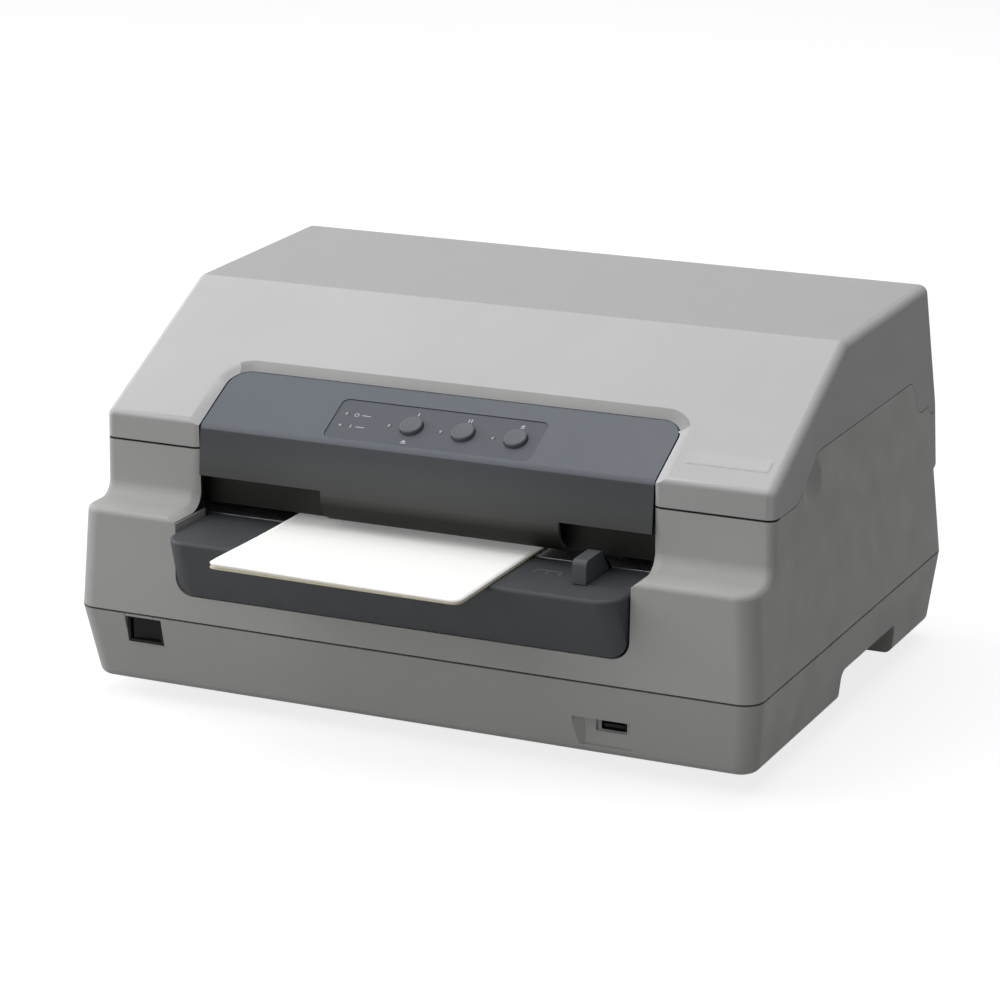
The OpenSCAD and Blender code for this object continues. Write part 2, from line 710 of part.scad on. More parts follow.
module top_cover() color("#c9c9c9") placed() {
    ring = mouth_w / 2 + bevel_w + 3;
    ring_t = bevel_depth + 2.2;
    difference() {
        upper_body();
        difference() {
            upper_body(-wall, 20);
            on_slope(bend, mouth_x, 0, -ring_t) linear_extrude(ring_t + 2) mouth_outline(bevel_w + 3);
            box(mouth_x - ring, mouth_x + ring, band_y - 1, band_y + ring_t + 1.7, band_z, bend[1]);
            cover_ears();
        }
        difference() {
            below_seam(cover_seam_gap);
            cover_ears();
        }
        on_slope(bend, mouth_x, 0, -30) linear_extrude(40) mouth_outline();
        jamb_bevels(band_z - 1, bend[1] + 0.3);
        on_slope(bend, mouth_x) mouth_bevel();
        for (s = [-1, 1])
            rod_x(hinge_pin_d + 2 * run_gap,
                s * (arm_x + 2.2) - 2.2, s * (arm_x + 2.2) + 2.2, hinge[0], hinge[1]);
    }
}
// Round ears at the back corners carry the cover on its pins
module cover_ears() for (s = [-1, 1])
    rod_x(2 * ear_r, s * (arm_x + 6) - 5.4, s * (arm_x + 6) + 5.4, hinge[0], hinge[1]);
module hinge_pins() color("#b9bcc0") placed() for (s = [-1, 1])
    rod_x(hinge_pin_d, s * (arm_x - 3) - 6.6, s * (arm_x - 3) + 6.6, hinge[0], hinge[1]);

// The bent moulding that closes the cut-out and carries the keys
module control_panel() color("#7b8087") placed() {
    difference() {
        union() {
            difference() {
                translate([mouth_x, 0, 0]) along_x(2 * panel_half) polygon(panel_strip());
                // The top corners follow the cut-out
                for (s = [0, 1]) translate([mouth_x, 0, 0]) mirror([s, 0, 0])
                    on_slope(panel_bend, panel_half - panel_corner_r,
                        panel_top_v - panel_corner_r, -panel_t - 1)
                        linear_extrude(panel_t + 2) difference() {
                            square(panel_corner_r + 1);
                            circle(panel_corner_r, $fn = fine_fn);
                        }
            }
            panel_lip();
            // Ribs that rest on the upper stay, and bosses for the board
            for (x = [-112, -76, 76, 112]) translate([x, 0, 0]) along_x(2.4) polygon([
                panel_bend + [panel_t / 2, -10],
                panel_bend + [panel_t / 2, -panel_t],
                panel_bend + 16 * [cos(slope_a), sin(slope_a)]
                    + 0.8 * panel_t * [sin(slope_a), -cos(slope_a)],
                [upper_stay_y - seat_gap, upper_stay_z + upper_stay_d],
                [upper_stay_y - seat_gap, upper_stay_z + 1]
            ]);
            for (x = board_boss_x, v = [4, 31]) on_slope(panel_bend, recess_x + x, v, -board_drop)
                cylinder(d = 5, h = board_drop - panel_t + 0.5, $fn = round_fn);
        }
        on_slope(panel_bend, recess_x, recess_v, -recess_depth) linear_extrude(recess_depth + 1)
            rounded(-recess_w / 2, recess_w / 2, -recess_h / 2, recess_h / 2, recess_r);
        key_places() translate([0, 0, -board_drop])
            cylinder(d = key_d + 2 * key_gap, h = board_drop + 1, $fn = fine_fn);
        light_places() translate([0, 0, -board_drop])
            cylinder(d = light_d + 0.3, h = board_drop + 1, $fn = round_fn);
    }
}
panel_corner_r = mouth_top_r - panel_gap;
board_boss_x = [-54, 56];
// Section of the panel: slope, bend and leaning face, with the same thickness all along
function panel_strip() =
    let (
        top = panel_bend + panel_top_v * [cos(slope_a), sin(slope_a)],
        outline = [top, panel_bend, panel_low],
        n0 = inward(top, panel_bend),
        n1 = inward(panel_bend, panel_low),
        inner_bend = panel_bend + panel_t * (n0 + n1) / (1 + n0 * n1),
        a0 = 90 + slope_a,
        a1 = 180 + atan2(panel_low[0] - panel_bend[0], panel_bend[1] - panel_low[1]),
        c = panel_bend + panel_bend_r * (n0 + n1) / (1 + n0 * n1)
    ) concat(
        [top],
        arc(c, panel_bend_r, a0, a1, 8),
        [panel_low, panel_low + panel_t * n1],
        [inner_bend],
        [top + panel_t * n0]
    );
// Middle lip that rolls inwards over the paper
module panel_lip() translate([lip_x, 0, 0]) along_x(lip_w) polygon(concat(
    [panel_low],
    arc([panel_low[0] + lip_r, panel_low[1] - 3.5], lip_r, 180, 250, 10),
    arc([panel_low[0] + lip_r, panel_low[1] - 3.5], lip_r - panel_t, 250, 180, 10),
    [panel_low + [panel_t, 0]]
));
module key_places() for (i = [0 : 2])
    on_slope(panel_bend, recess_x + key_first + i * key_pitch, recess_v) children();
module light_places() {
    for (i = [0 : 2])
        on_slope(panel_bend, recess_x + key_first + i * key_pitch + light_x, recess_v - 0.8) children();
    for (v = [-4.6, 4]) on_slope(panel_bend, recess_x - recess_w / 2 + 6.4, recess_v + v) children();
}
module panel_overlay() color("#6a6d73") placed() difference() {
    on_slope(panel_bend, recess_x, recess_v, -recess_depth) linear_extrude(overlay_t)
        rounded(0.2 - recess_w / 2, recess_w / 2 - 0.2,
            0.2 - recess_h / 2, recess_h / 2 - 0.2, recess_r - 0.2);
    key_places() translate([0, 0, -2]) cylinder(d = key_d + 2 * key_gap, h = 3, $fn = fine_fn);
    light_places() translate([0, 0, -2]) cylinder(d = light_d + 0.3, h = 3, $fn = round_fn);
}
// A key: a slightly domed cap on a stem, with a flange that stops it behind the panel
module key(i) color("#767980") placed() on_slope(panel_bend, recess_x + key_first + i * key_pitch, recess_v)
    rotate_extrude($fn = fine_fn) polygon(concat(
        [[0, -key_drop], [key_d / 2 + 1.6, -key_drop], [key_d / 2 + 1.6, -panel_t - seat_gap],
            [key_d / 2, -panel_t - seat_gap]],
        arc([key_d / 2 - 1, key_top - 1], 1, 0, 75, 5),
        [[key_d / 2 - 2.4, key_top + 0.12], [0, key_top + 0.2]]
    ));
key_top = key_up - recess_depth + overlay_t;
key_drop = panel_t + 1.6;
module left_key() key(0);
module middle_key() key(1);
module right_key() key(2);
module status_lights() color("#d8e6c8") placed() light_places() translate([0, 0, -board_drop + 0.1])
    rotate_extrude($fn = round_fn) polygon(concat(
        [[0, 0], [light_d / 2, 0]],
        arc([0, board_drop - recess_depth + overlay_t - 0.5], light_d / 2, 0, 90, 6)
    ));
module panel_board() color("#2f6b45") placed() {
    on_slope(panel_bend, recess_x, recess_v, -board_drop - board_t) linear_extrude(board_t)
        rounded(-recess_w / 2, recess_w / 2, -recess_h / 2 - 1, recess_h / 2 + 1, 1.5);
    key_places() translate([0, 0, -board_drop]) {
        translate([-3, -3, 0]) cube([6, 6, 2.6]);
        cylinder(d = 3.4, h = board_drop - key_drop - key_travel - 0.2, $fn = round_fn);
    }
}

// The table: a moulded skin with a sloping apron, open below and behind
guide_stop_x = [for (s = [-1, 1]) guide_x + s * (guide_travel + guide_w / 2 + 1 + seat_gap)];
module front_table() color("#55575a") placed() {
    half = table_w / 2;
    difference() {
        union() {
            translate([mouth_x, 0, 0]) difference() {
                table_block(0);
                table_block(-table_t);
            }
            // Ribs below the skin; the last two stop the edge guide
            for (x = concat([-90, -45, 0, 45], guide_stop_x)) translate([x, 0, 0]) along_x(2) polygon([
                [front_y + 4, mouth_z + 6], [table_rear_y, path_z - 14], [table_rear_y, path_z - 1],
                [table_y + table_t + 1, path_z - 1], [table_y + table_t + 2, path_z - 6]
            ]);
        }
        translate([mouth_x, 0, 0]) {
            box(-half - 1, half + 1, table_rear_y, table_rear_y + 30, mouth_z - 5, path_z + 5);
            box(-half + table_t, half - table_t, front_y + 6, table_rear_y + 1, mouth_z - 5, path_z - 15);
        }
    }
}
module table_block(grow) {
    half = table_w / 2;
    over = grow < 0 ? 1 : 0;
    low = mouth_z + seat_gap;
    top_r = 2;
    hull() {
        for (s = [-1, 1]) {
            translate([s * (half - table_r), table_y + table_r,
                path_z - top_r - (grow < 0 ? table_t - 1 : 0)])
                rotate_extrude($fn = round_fn) translate([table_r - top_r, 0])
                    circle(grow < 0 ? 1 : top_r, $fn = 24);
            translate([s * (half - mouth_floor_r), front_y + 1 - grow, low + mouth_floor_r])
                rotate([-90, 0, 0]) cylinder(r = mouth_floor_r + grow - 0.3, h = 8, $fn = round_fn);
            translate([s * (half + grow) - (s > 0 ? eps : 0), table_rear_y + 0.5, path_z - 4])
                cube([eps, 1 + over, 4 + grow]);
            translate([s * (half - mouth_floor_r), table_rear_y + 0.5, low + mouth_floor_r])
                rotate([-90, 0, 0]) cylinder(r = mouth_floor_r + grow - 0.3, h = 1 + over, $fn = round_fn);
        }
    }
}
// A low block that slides along the gap behind the table
module edge_guide() color("#6f7276") placed() {
    y0 = table_rear_y - guide_l - 6;
    shank_y = table_rear_y + guide_slot / 2;
    translate([guide_x, 0, 0]) {
        along_x(guide_w) polygon(concat(
            [[y0, path_z + seat_gap], [shank_y + 1.1, path_z + seat_gap]],
            [[shank_y + 1.1, path_z + guide_h - 4]],
            arc([shank_y - 4, path_z + guide_h - 3.5], 3.5, 40, 90, 5),
            arc([y0 + 3.5, path_z + guide_h - 3], 3, 90, 175, 6)
        ));
        along_x(guide_w) polygon([
            [shank_y - 1.1, path_z + 1],
            [shank_y - 1.1, path_z - table_t - 1],
            [shank_y - 4, path_z - table_t - 1],
            [shank_y - 4, path_z - table_t - 3],
            [shank_y + 1.1, path_z - table_t - 3],
            [shank_y + 1.1, path_z + 1]
        ]);
    }
}
module passbook() color("#f4f2e8") placed() translate([book_x, front_y - book_reach, book_z])
    linear_extrude(book_t) rounded(-book_w / 2, book_w / 2, 0, book_l, book_r);

// Power switch: an open black housing with a rocker that tips about an upright pin
module power_switch() color("#1c1c1e") placed() difference() {
    box(-switch_x - switch_w / 2 + 0.2, -switch_x + switch_w / 2 - 0.2, switch_face_y, switch_face_y + 19,
        switch_cz - switch_h / 2 + 0.2, switch_cz + switch_h / 2 - 0.2);
    box(-switch_x - switch_w / 2 + 1.6, -switch_x + switch_w / 2 - 1.6, switch_face_y - 1, switch_face_y + 11,
        switch_cz - switch_h / 2 + 1.6, switch_cz + switch_h / 2 - 1.6);
    translate([-switch_x, switch_face_y + 6, switch_cz - switch_h / 2 + 0.7])
        cylinder(d = 3 + 2 * run_gap, h = switch_h - 1.4, $fn = round_fn);
}
switch_face_y = front_y + 2.6;
rocker_half = switch_w / 2 - 2.4;
rocker_tilt = 7;
module power_rocker() color("#262629") placed() translate([-switch_x, switch_face_y + 6, switch_cz])
    rotate([0, 0, rocker_tilt]) {
        translate([0, 0, -switch_h / 2 + 2]) linear_extrude(switch_h - 4) polygon(concat(
            [[-rocker_half, -4], [0, -3.2], [rocker_half, -4]],
            [[rocker_half, -1.2], [3, 3.5], [-3, 3.5], [-rocker_half, -1.2]]
        ));
        translate([0, 0, -switch_h / 2 + 0.8]) cylinder(d = 3, h = switch_h - 1.6, $fn = round_fn);
    }
// Front host port: a folded metal shell with its tongue
module front_port() color("#c9ccd0") placed() {
    y0 = front_y + 9.6;
    difference() {
        box(port_step_x - 6.6, port_step_x + 6.6, y0, front_y + 24, port_step_z - 3, port_step_z + 3);
        box(port_step_x - 6.1, port_step_x + 6.1, y0 - 1, front_y + 23, port_step_z - 2.5, port_step_z + 2.5);
    }
    box(port_step_x - 5.5, port_step_x + 5.5, y0 + 1.2, front_y + 23, port_step_z - 1.9, port_step_z - 0.1);
}
module power_inlet() color("#232325") placed() translate([inlet_x, 0, rear_z]) difference() {
    box(-inlet_w / 2, inlet_w / 2, port_face_y - 24, port_face_y, -inlet_h / 2, inlet_h / 2);
    along_y(port_face_y - 17, 18) polygon([
        [-11.8, -8], [11.8, -8], [11.8, 3.4], [7.6, 8], [-7.6, 8], [-11.8, 3.4]
    ]);
}
// Serial, parallel and device connectors on the back edge of the main board
module rear_ports() color("#b4b7bb") placed() {
    y1 = port_face_y;
    low = board_z + board_t;
    translate([serial_x, 0, 0]) {
        box(-15.4, 15.4, y1 - 20, y1 - 8, low, rear_z + 6.2);
        translate([0, 0, rear_z]) {
            along_y(y1 - 8, 1) difference() {
                square([30.8, 12.4], center = true);
                for (s = [-1, 1]) translate([s * 12.5, 0]) circle(d = 3, $fn = round_fn);
            }
            // Contact block with two rows of round contacts
            along_y(y1 - 7.5, 7.5) difference() {
                polygon([[-8.3, 4], [-7, -4], [7, -4], [8.3, 4]]);
                for (r = [0, 1], i = [0 : 4 - r])
                    translate([2.76 * (i - (4 - r) / 2), 1.4 - 2.8 * r]) circle(d = 1.1, $fn = 16);
            }
        }
    }
    translate([parallel_x, 0, 0]) difference() {
        union() {
            box(-29.4, 29.4, y1 - 22, y1 - 8.5, low, rear_z + 6.6);
            box(-29.4, 29.4, y1 - 9, y1 - 0.5, rear_z - 6.6, rear_z + 6.6);
        }
        along_y(y1 - 9, 10) translate([0, rear_z]) rounded(-25, 25, -4.5, 4.5, 1.5);
    }
    translate([parallel_x, 0, rear_z]) box(-23, 23, y1 - 9, y1 - 2, -1.5, 1.5);
    translate([usb_x, 0, 0]) difference() {
        union() {
            box(-6, 6, y1 - 17, y1 - 8.5, low, rear_z + 5.6);
            box(-6, 6, y1 - 9, y1, rear_z - 5.6, rear_z + 5.6);
        }
        along_y(y1 - 12, 13) translate([0, rear_z]) rounded(-4.3, 4.3, -4, 4, 1.4);
    }
}
module rubber_feet() color("#2b2b2b") placed() for (p = foot_at) translate([p[0], p[1], 0])
    cylinder(d1 = foot_d - 1.6, d2 = foot_d, h = foot_gap / 2 + 0.8, $fn = fine_fn);

// Sheet steel floor of the mechanism
module chassis_plate() color("#aeb2b6") placed() difference() {
    union() {
        box(-frame_out, frame_out, chassis_front, chassis_back, chassis_z, chassis_top);
        for (y = [chassis_front, chassis_back - sheet_t])
            box(-frame_x + 1, frame_x - 1, y, y + sheet_t, chassis_z, chassis_z + flange_h);
    }
    for (p = post_at) translate([p[0], p[1], chassis_z - 1])
        cylinder(d = 3.4, h = sheet_t + 2, $fn = round_fn);
    for (i = [-1 : 1], s = [-1, 1])
        translate([
            i * window_pitch,
            (chassis_front + chassis_back) / 2 + s * (window_l + window_gap) / 2 - 5,
            chassis_z - 1
        ])
            linear_extrude(sheet_t + 2) rounded(-window_w / 2, window_w / 2, -window_l / 2, window_l / 2, 4);
}
module chassis_screws() color("#c4c6c8") placed() for (p = post_at) translate([p[0], p[1], chassis_top]) {
    cylinder(d = 6.4, h = 2, $fn = round_fn);
    translate([0, 0, -10]) cylinder(d = 3, h = 10, $fn = round_fn);
}
// Side frames: pressed plates with a foot flange and round openings for every shaft
module side_frame(s) {
    y0 = chassis_front + 3;
    y1 = chassis_back - 3;
    difference() {
        union() {
            translate([s * (frame_x + sheet_t / 2), 0, 0]) along_x(sheet_t) polygon([
                [y0, chassis_top], [y1, chassis_top], [y1, path_z + 14], [rear_rod[0] + 34, path_z + 42],
                [rear_rod[0] - 10, path_z + 54], [front_rod[0] - 8, path_z + 58],
                [upper_stay_y + 2, upper_stay_z + upper_stay_d + 4],
                [upper_stay_y - 10, upper_stay_z + 8],
                [y0, path_z + 12]
            ]);
            box(s > 0 ? frame_x - 9 : -frame_x, s > 0 ? frame_x : 9 - frame_x, y0 + 14, y1 - 14,
                chassis_top, chassis_top + sheet_t);
        }
        for (y = [front_feed_y, rear_feed_y], z = [feed_z, pinch_z])
            frame_hole(s, bush_d + 2 * run_gap, y, z);
        for (r = [front_rod, rear_rod]) frame_hole(s, rod_d + 2 * run_gap, r[0], r[1]);
        // Open slot that takes the peg of the ribbon cartridge
        box(s > 0 ? frame_x - 1 : -frame_out - 1, s > 0 ? frame_out + 1 : 1 - frame_x,
            peg[0] - 3, peg[0] + 3, peg[1] - 3.3, case_h);
        if (s < 0) {
            frame_hole(s, 12, print_line, motor_z);
            for (p = [idler_centre(-1), idler_centre(1)]) frame_hole(s, 5 + 2 * run_gap, p[0], p[1]);
        }
        for (y = [-20, 30]) frame_hole(s, 26, y + print_line, path_z + 20 - (y > 0 ? 6 : -2), fine_fn);
        for (p = post_at) if (p[0] * s > 0) translate([p[0], p[1], chassis_top - 1])
            cylinder(d = 8, h = 4, $fn = round_fn);
    }
}
module frame_hole(s, d, y, z, fn = fine_fn)
    rod_x(d, s > 0 ? frame_x - 12 : -frame_out - 1, s > 0 ? frame_out + 1 : 12 - frame_x, y, z, fn);
module left_side_frame() color("#b6babd") placed() side_frame(-1);
module right_side_frame() color("#b6babd") placed() side_frame(1);
module front_stay() color("#a6aaae") placed() along_x(2 * frame_x - 0.4) polygon([
    [plate_front_y + 2, chassis_top + 12], [plate_front_y + 2, stay_z], [plate_front_y + 12, stay_z],
    [plate_front_y + 12, stay_z - sheet_t], [plate_front_y + 2 + sheet_t, stay_z - sheet_t],
    [plate_front_y + 2 + sheet_t, chassis_top + 12]
]);
module rear_stay() color("#a6aaae") placed() along_x(2 * frame_x - 0.4) polygon([
    [chassis_back - 8, chassis_top + 9], [chassis_back - 8, stay_z], [chassis_back - 20, stay_z],
    [chassis_back - 20, stay_z - sheet_t], [chassis_back - 8 - sheet_t, stay_z - sheet_t],
    [chassis_back - 8 - sheet_t, chassis_top + 9]
]);
// Channel across the top front, which carries the control panel and the upper paper guide
module upper_stay() color("#a6aaae") placed() along_x(2 * frame_x - 0.4) difference() {
    translate([upper_stay_y, upper_stay_z]) square([upper_stay_d, upper_stay_d]);
    translate([upper_stay_y + sheet_t, upper_stay_z + sheet_t])
        square([upper_stay_d - 2 * sheet_t, upper_stay_d]);
}
// Lower paper guide: one plate with windows for the rollers and the platen
module paper_guide() color("#8f9498") placed() difference() {
    box(-frame_x + 2, frame_x - 2, plate_front_y, chassis_back + 8, stay_z, plate_z);
    for (x = roller_at, y = [front_feed_y, rear_feed_y])
        box(x - roller_w / 2 - 1.5, x + roller_w / 2 + 1.5, y - 7.5, y + 7.5, stay_z - 1, plate_z + 1);
    box(-platen_half - 1, platen_half + 1, print_line - 8, print_line + 8, stay_z - 1, plate_z + 1);
}
roller_at = [for (i = [-1.5 : 1 : 1.5]) i * roller_pitch];
platen_half = 128;
platen_h = 14;
platen_d = 12;
platen_foot_x = 96;
module upper_paper_guide() color("#3a3b3d") placed() along_x(2 * frame_x - 12) polygon([
    [band_y + 14, upper_stay_z - 6], [band_y + 14, path_z + 4.6], [upper_stay_y + 7, path_z + 4.6],
    [upper_stay_y + 7, upper_stay_z - seat_gap], [upper_stay_y + 5.4, upper_stay_z - seat_gap],
    [upper_stay_y + 5.4, path_z + 6.2], [band_y + 15.6, path_z + 6.2], [band_y + 15.6, upper_stay_z - 6]
]);
// Platen bar under the print line, on two feet
module platen() color("#2f3033") placed() {
    along_x(2 * platen_half) polygon(concat(
        [[print_line - platen_d / 2, path_z - platen_h], [print_line + platen_d / 2, path_z - platen_h]],
        arc([print_line + platen_d / 2 - 2, path_z - 2.2], 2, 0, 90, 4),
        arc([print_line - platen_d / 2 + 2, path_z - 2.2], 2, 90, 180, 4)
    ));
    for (s = [-1, 1])
        box(s * platen_foot_x - 7, s * platen_foot_x + 7,
            print_line - platen_d / 2 + 1, print_line + platen_d / 2 - 1,
            chassis_top, path_z - platen_h);
}

// Feed: driven shafts below the paper, pinch rollers above it
module shaft_bushings() color("#b08a4a") placed()
    for (s = [-1, 1], y = [front_feed_y, rear_feed_y], z = [0, 1]) {
    bore = (z == 0 ? feed_shaft_d : pinch_shaft_d) + 2 * run_gap;
    translate([s * (frame_x - 3), y, z == 0 ? feed_z : pinch_z]) rotate([0, 90 * s, 0]) difference() {
        union() {
            cylinder(d = bush_d, h = 3 + sheet_t, $fn = fine_fn);
            translate([0, 0, 1.8]) cylinder(d = bush_d + 2.4, h = 1.2 - run_gap, $fn = fine_fn);
        }
        translate([0, 0, -1]) cylinder(d = bore, h = 8, $fn = fine_fn);
    }
}
module feed_shaft(y) color("#c9ccd0") placed()
    rod_x(feed_shaft_d, gear_x - gear_w - 1, frame_out + 1, y, feed_z);
module front_feed_shaft() feed_shaft(front_feed_y);
module rear_feed_shaft() feed_shaft(rear_feed_y);
module feed_rollers(y) color("#3c3d40") placed() for (x = roller_at) difference() {
    rod_x(feed_roller_d, x - roller_w / 2, x + roller_w / 2, y, feed_z);
    rod_x(feed_shaft_d + 0.04, x - roller_w, x + roller_w, y, feed_z);
}
module front_feed_rollers() feed_rollers(front_feed_y);
module rear_feed_rollers() feed_rollers(rear_feed_y);
module pinch_roller(y) color("#56585b") placed() {
    rod_x(pinch_shaft_d, -frame_out - 0.6, frame_out + 0.6, y, pinch_z);
    for (x = roller_at) rod_x(pinch_roller_d, x - roller_w / 2 + 1, x + roller_w / 2 - 1, y, pinch_z);
}
module front_pinch_roller() pinch_roller(front_feed_y);
module rear_pinch_roller() pinch_roller(rear_feed_y);

// Spur gear in the plane of Y and Z, its first tooth at the angle a0
module gear(n, bore, a0) {
    tip = gear_m * (n / 2 + 0.9);
    root = gear_m * (n / 2 - 1.15);
    half_root = 360 / n * 0.29;
    half_tip = 360 / n * 0.13;
    difference() {
        linear_extrude(gear_w) difference() {
            polygon([for (i = [0 : n - 1], k = [0 : 3])
                let (
                    a = a0 + 360 / n * i + [-half_root, -half_tip, half_tip, half_root][k],
                    r = k == 0 || k == 3 ? root : tip
                ) r * [cos(a), sin(a)]]);
            if (n > 20) for (i = [0 : 5])
                rotate(60 * i) translate([root * 0.58, 0]) circle(root * 0.2, $fn = round_fn);
        }
        translate([0, 0, -1]) cylinder(d = bore, h = gear_w + 2, $fn = fine_fn);
    }
}
// Places a gear drawn in X and Y on the plane outside the left side frame
module at_gear(c) translate([gear_x - gear_w, c[0], c[1]]) rotate([90, 0, 90]) children();
pinion = [print_line, motor_z];
// Idler between the pinion and the feed gear in front (-1) or behind (1)
function feed_centre(s) = [print_line + s * feed_half, feed_z];
function idler_centre(s) =
    let (
        d = feed_centre(s) - pinion,
        l = norm(d),
        along = (pinion_reach * pinion_reach - feed_reach * feed_reach + l * l) / (2 * l),
        off = sqrt(max(0, pinion_reach * pinion_reach - along * along)),
        u = d / l
    ) pinion + along * u + off * s * [u[1], -u[0]];
function heading(a, b) = atan2(b[1] - a[1], b[0] - a[0]);
// Tooth angle of a gear at b that meshes with a gear at a
function mesh_angle(a, na, a0, b, nb) =
    let (t = (heading(a, b) - a0) / (360 / na))
        heading(a, b) + 180 - (0.5 - (t - floor(t))) * 360 / nb;
function idler_angle(s) = mesh_angle(pinion, pinion_n, 0, idler_centre(s), idler_n);
function feed_angle(s) = mesh_angle(idler_centre(s), idler_n, idler_angle(s), feed_centre(s), feed_n);
module feed_gear(s) color("#e8e4da") placed() at_gear(feed_centre(s))
    gear(feed_n, feed_shaft_d + 0.04, feed_angle(s));
module front_feed_gear() feed_gear(-1);
module rear_feed_gear() feed_gear(1);
module idler_gear(s) color("#dcd8cc") placed() at_gear(idler_centre(s))
    gear(idler_n, 5 + 2 * run_gap, idler_angle(s));
module front_idler_gear() idler_gear(-1);
module rear_idler_gear() idler_gear(1);
module idler_studs() color("#c4c7ca") placed() for (s = [-1, 1]) let (c = idler_centre(s)) {
    rod_x(5, gear_x - gear_w - 1.5, -frame_x + 1.5, c[0], c[1]);
    rod_x(8, gear_x - gear_w - 1.5, gear_x - gear_w - 0.3, c[0], c[1]);
    rod_x(8, gear_x + 0.3, -frame_out - 0.05, c[0], c[1]);
    rod_x(8, -frame_x + 0.05, -frame_x + 1.5, c[0], c[1]);
}
// A stepping motor: a can, a flange with ears and a shaft, standing along Z from its flange down
module stepper(shaft_l, shaft_d = 4) {
    translate([0, 0, -motor_l]) cylinder(d = motor_d, h = motor_l - 1.2, $fn = fine_fn);
    translate([0, 0, -1.2]) linear_extrude(1.2) {
        circle(d = motor_d - 0.8, $fn = fine_fn);
        for (a = [45, 135, 225, 315]) rotate(a) translate([motor_d / 2 - 5, -3.4]) square([5, 6.8]);
    }
    cylinder(d = 9, h = sheet_t, $fn = fine_fn);
    cylinder(d = shaft_d, h = shaft_l, $fn = fine_fn);
}
module feed_motor() color("#9fa2a6") placed() translate([-frame_x, print_line, motor_z]) rotate([0, -90, 0])
    stepper(-gear_x - frame_x + gear_w + 0.8);
module feed_pinion() color("#c8a45a") placed() at_gear(pinion) gear(pinion_n, 4 + 2 * run_gap, 0);

// Carriage with the print head
module carriage_rods() color("#d0d3d6") placed() for (r = [front_rod, rear_rod])
    rod_x(rod_d, -frame_out - 1.2, frame_out + 1.2, r[0], r[1]);
head_w = 30;
head_d = 26;
module carriage() color("#2c2d30") placed() {
    y0 = front_rod[0] - rod_d / 2 - 4;
    y1 = rear_rod[0] + rod_d / 2 + 4;
    run = pulley_y - pulley_d / 2 - belt_t / 2;
    difference() {
        union() {
            along_x(carriage_w) polygon([
                [y0, carriage_z + 8], [y0 + 5, carriage_z], [y1 - 5, carriage_z], [y1, carriage_z + 5],
                [y1, carriage_top - 10],
                [y1 - 10, carriage_top],
                [y0 + 6, carriage_top],
                [y0, carriage_top - 5]
            ]);
            // Clamp on the front run of the belt
            box(-9, 9, y1 - 2, run - belt_t / 2 - seat_gap, belt_z - 2, belt_z + belt_h + 3);
            box(-9, 9, y1 - 2, run + belt_t / 2 + seat_gap + 2,
                belt_z + belt_h + seat_gap, belt_z + belt_h + 3);
            box(-9, 9, run + belt_t / 2 + seat_gap, run + belt_t / 2 + seat_gap + 2,
                belt_z - 2, belt_z + belt_h + 3);
        }
        for (r = [front_rod, rear_rod])
            rod_x(rod_d + 2 * run_gap, -carriage_w, carriage_w, r[0], r[1]);
        box(-head_w / 2 - seat_gap, head_w / 2 + seat_gap, print_line - head_d / 2 - seat_gap,
            print_line + head_d / 2 + seat_gap, carriage_z - 1, carriage_top + 1);
    }
}
module print_head() color("#8e9297") placed() translate([0, print_line, 0]) {
    // Nose with the wires, body, flange and finned heat sink
    translate([0, 0, nose_z]) rotate_extrude($fn = fine_fn) polygon([
        [0, 0], [3.2, 0], [4, 3], [11, 18], [12, carriage_z - nose_z + 1], [0, carriage_z - nose_z + 1]
    ]);
    box(-head_w / 2, head_w / 2, -head_d / 2, head_d / 2, carriage_z - 2, carriage_top + 1);
    translate([0, 0, carriage_top]) linear_extrude(2.4)
        rounded(-head_w / 2 - 6, head_w / 2 + 6, -head_d / 2 - 5, head_d / 2 + 5, 4);
    translate([0, 0, carriage_top + 2]) rotate_extrude($fn = fine_fn) polygon(concat(
        [[0, 0], [11, 0]],
        [for (i = [0 : 5], k = [0 : 3]) [k == 1 || k == 2 ? 19 : 11, 1 + 3.2 * i + (k > 1 ? 1.5 : 0)]],
        [[11, 19.5], [8, 21], [0, 21]]
    ));
}
module motor_at(s) translate([s * pulley_x, pulley_y, bracket_z]) children();
module carriage_motor() color("#9fa2a6") placed() motor_at(-1) stepper(sheet_t + 2 + belt_h + 1.5);
module pulley_brackets() color("#b0b4b8") placed() for (s = [-1, 1]) difference() {
    union() {
        motor_at(s) translate([s > 0 ? -motor_d / 2 + 3 : -motor_d / 2 - 1, -motor_d / 2 + 2, 0])
            cube([motor_d - 2, motor_d - 4, sheet_t]);
        // Flange against the side frame, and the stud of the idler
        box(s > 0 ? frame_x - sheet_t : -frame_x, s > 0 ? frame_x : sheet_t - frame_x,
            pulley_y - motor_d / 2 + 2, pulley_y - motor_d / 2 + 12, bracket_z - 8, bracket_z + sheet_t);
        if (s > 0) motor_at(s) cylinder(d = 4, h = sheet_t + 2 + belt_h + 1.5, $fn = fine_fn);
    }
    if (s < 0) motor_at(s) translate([0, 0, -1]) cylinder(d = 9 + 2 * run_gap, h = 4, $fn = fine_fn);
}
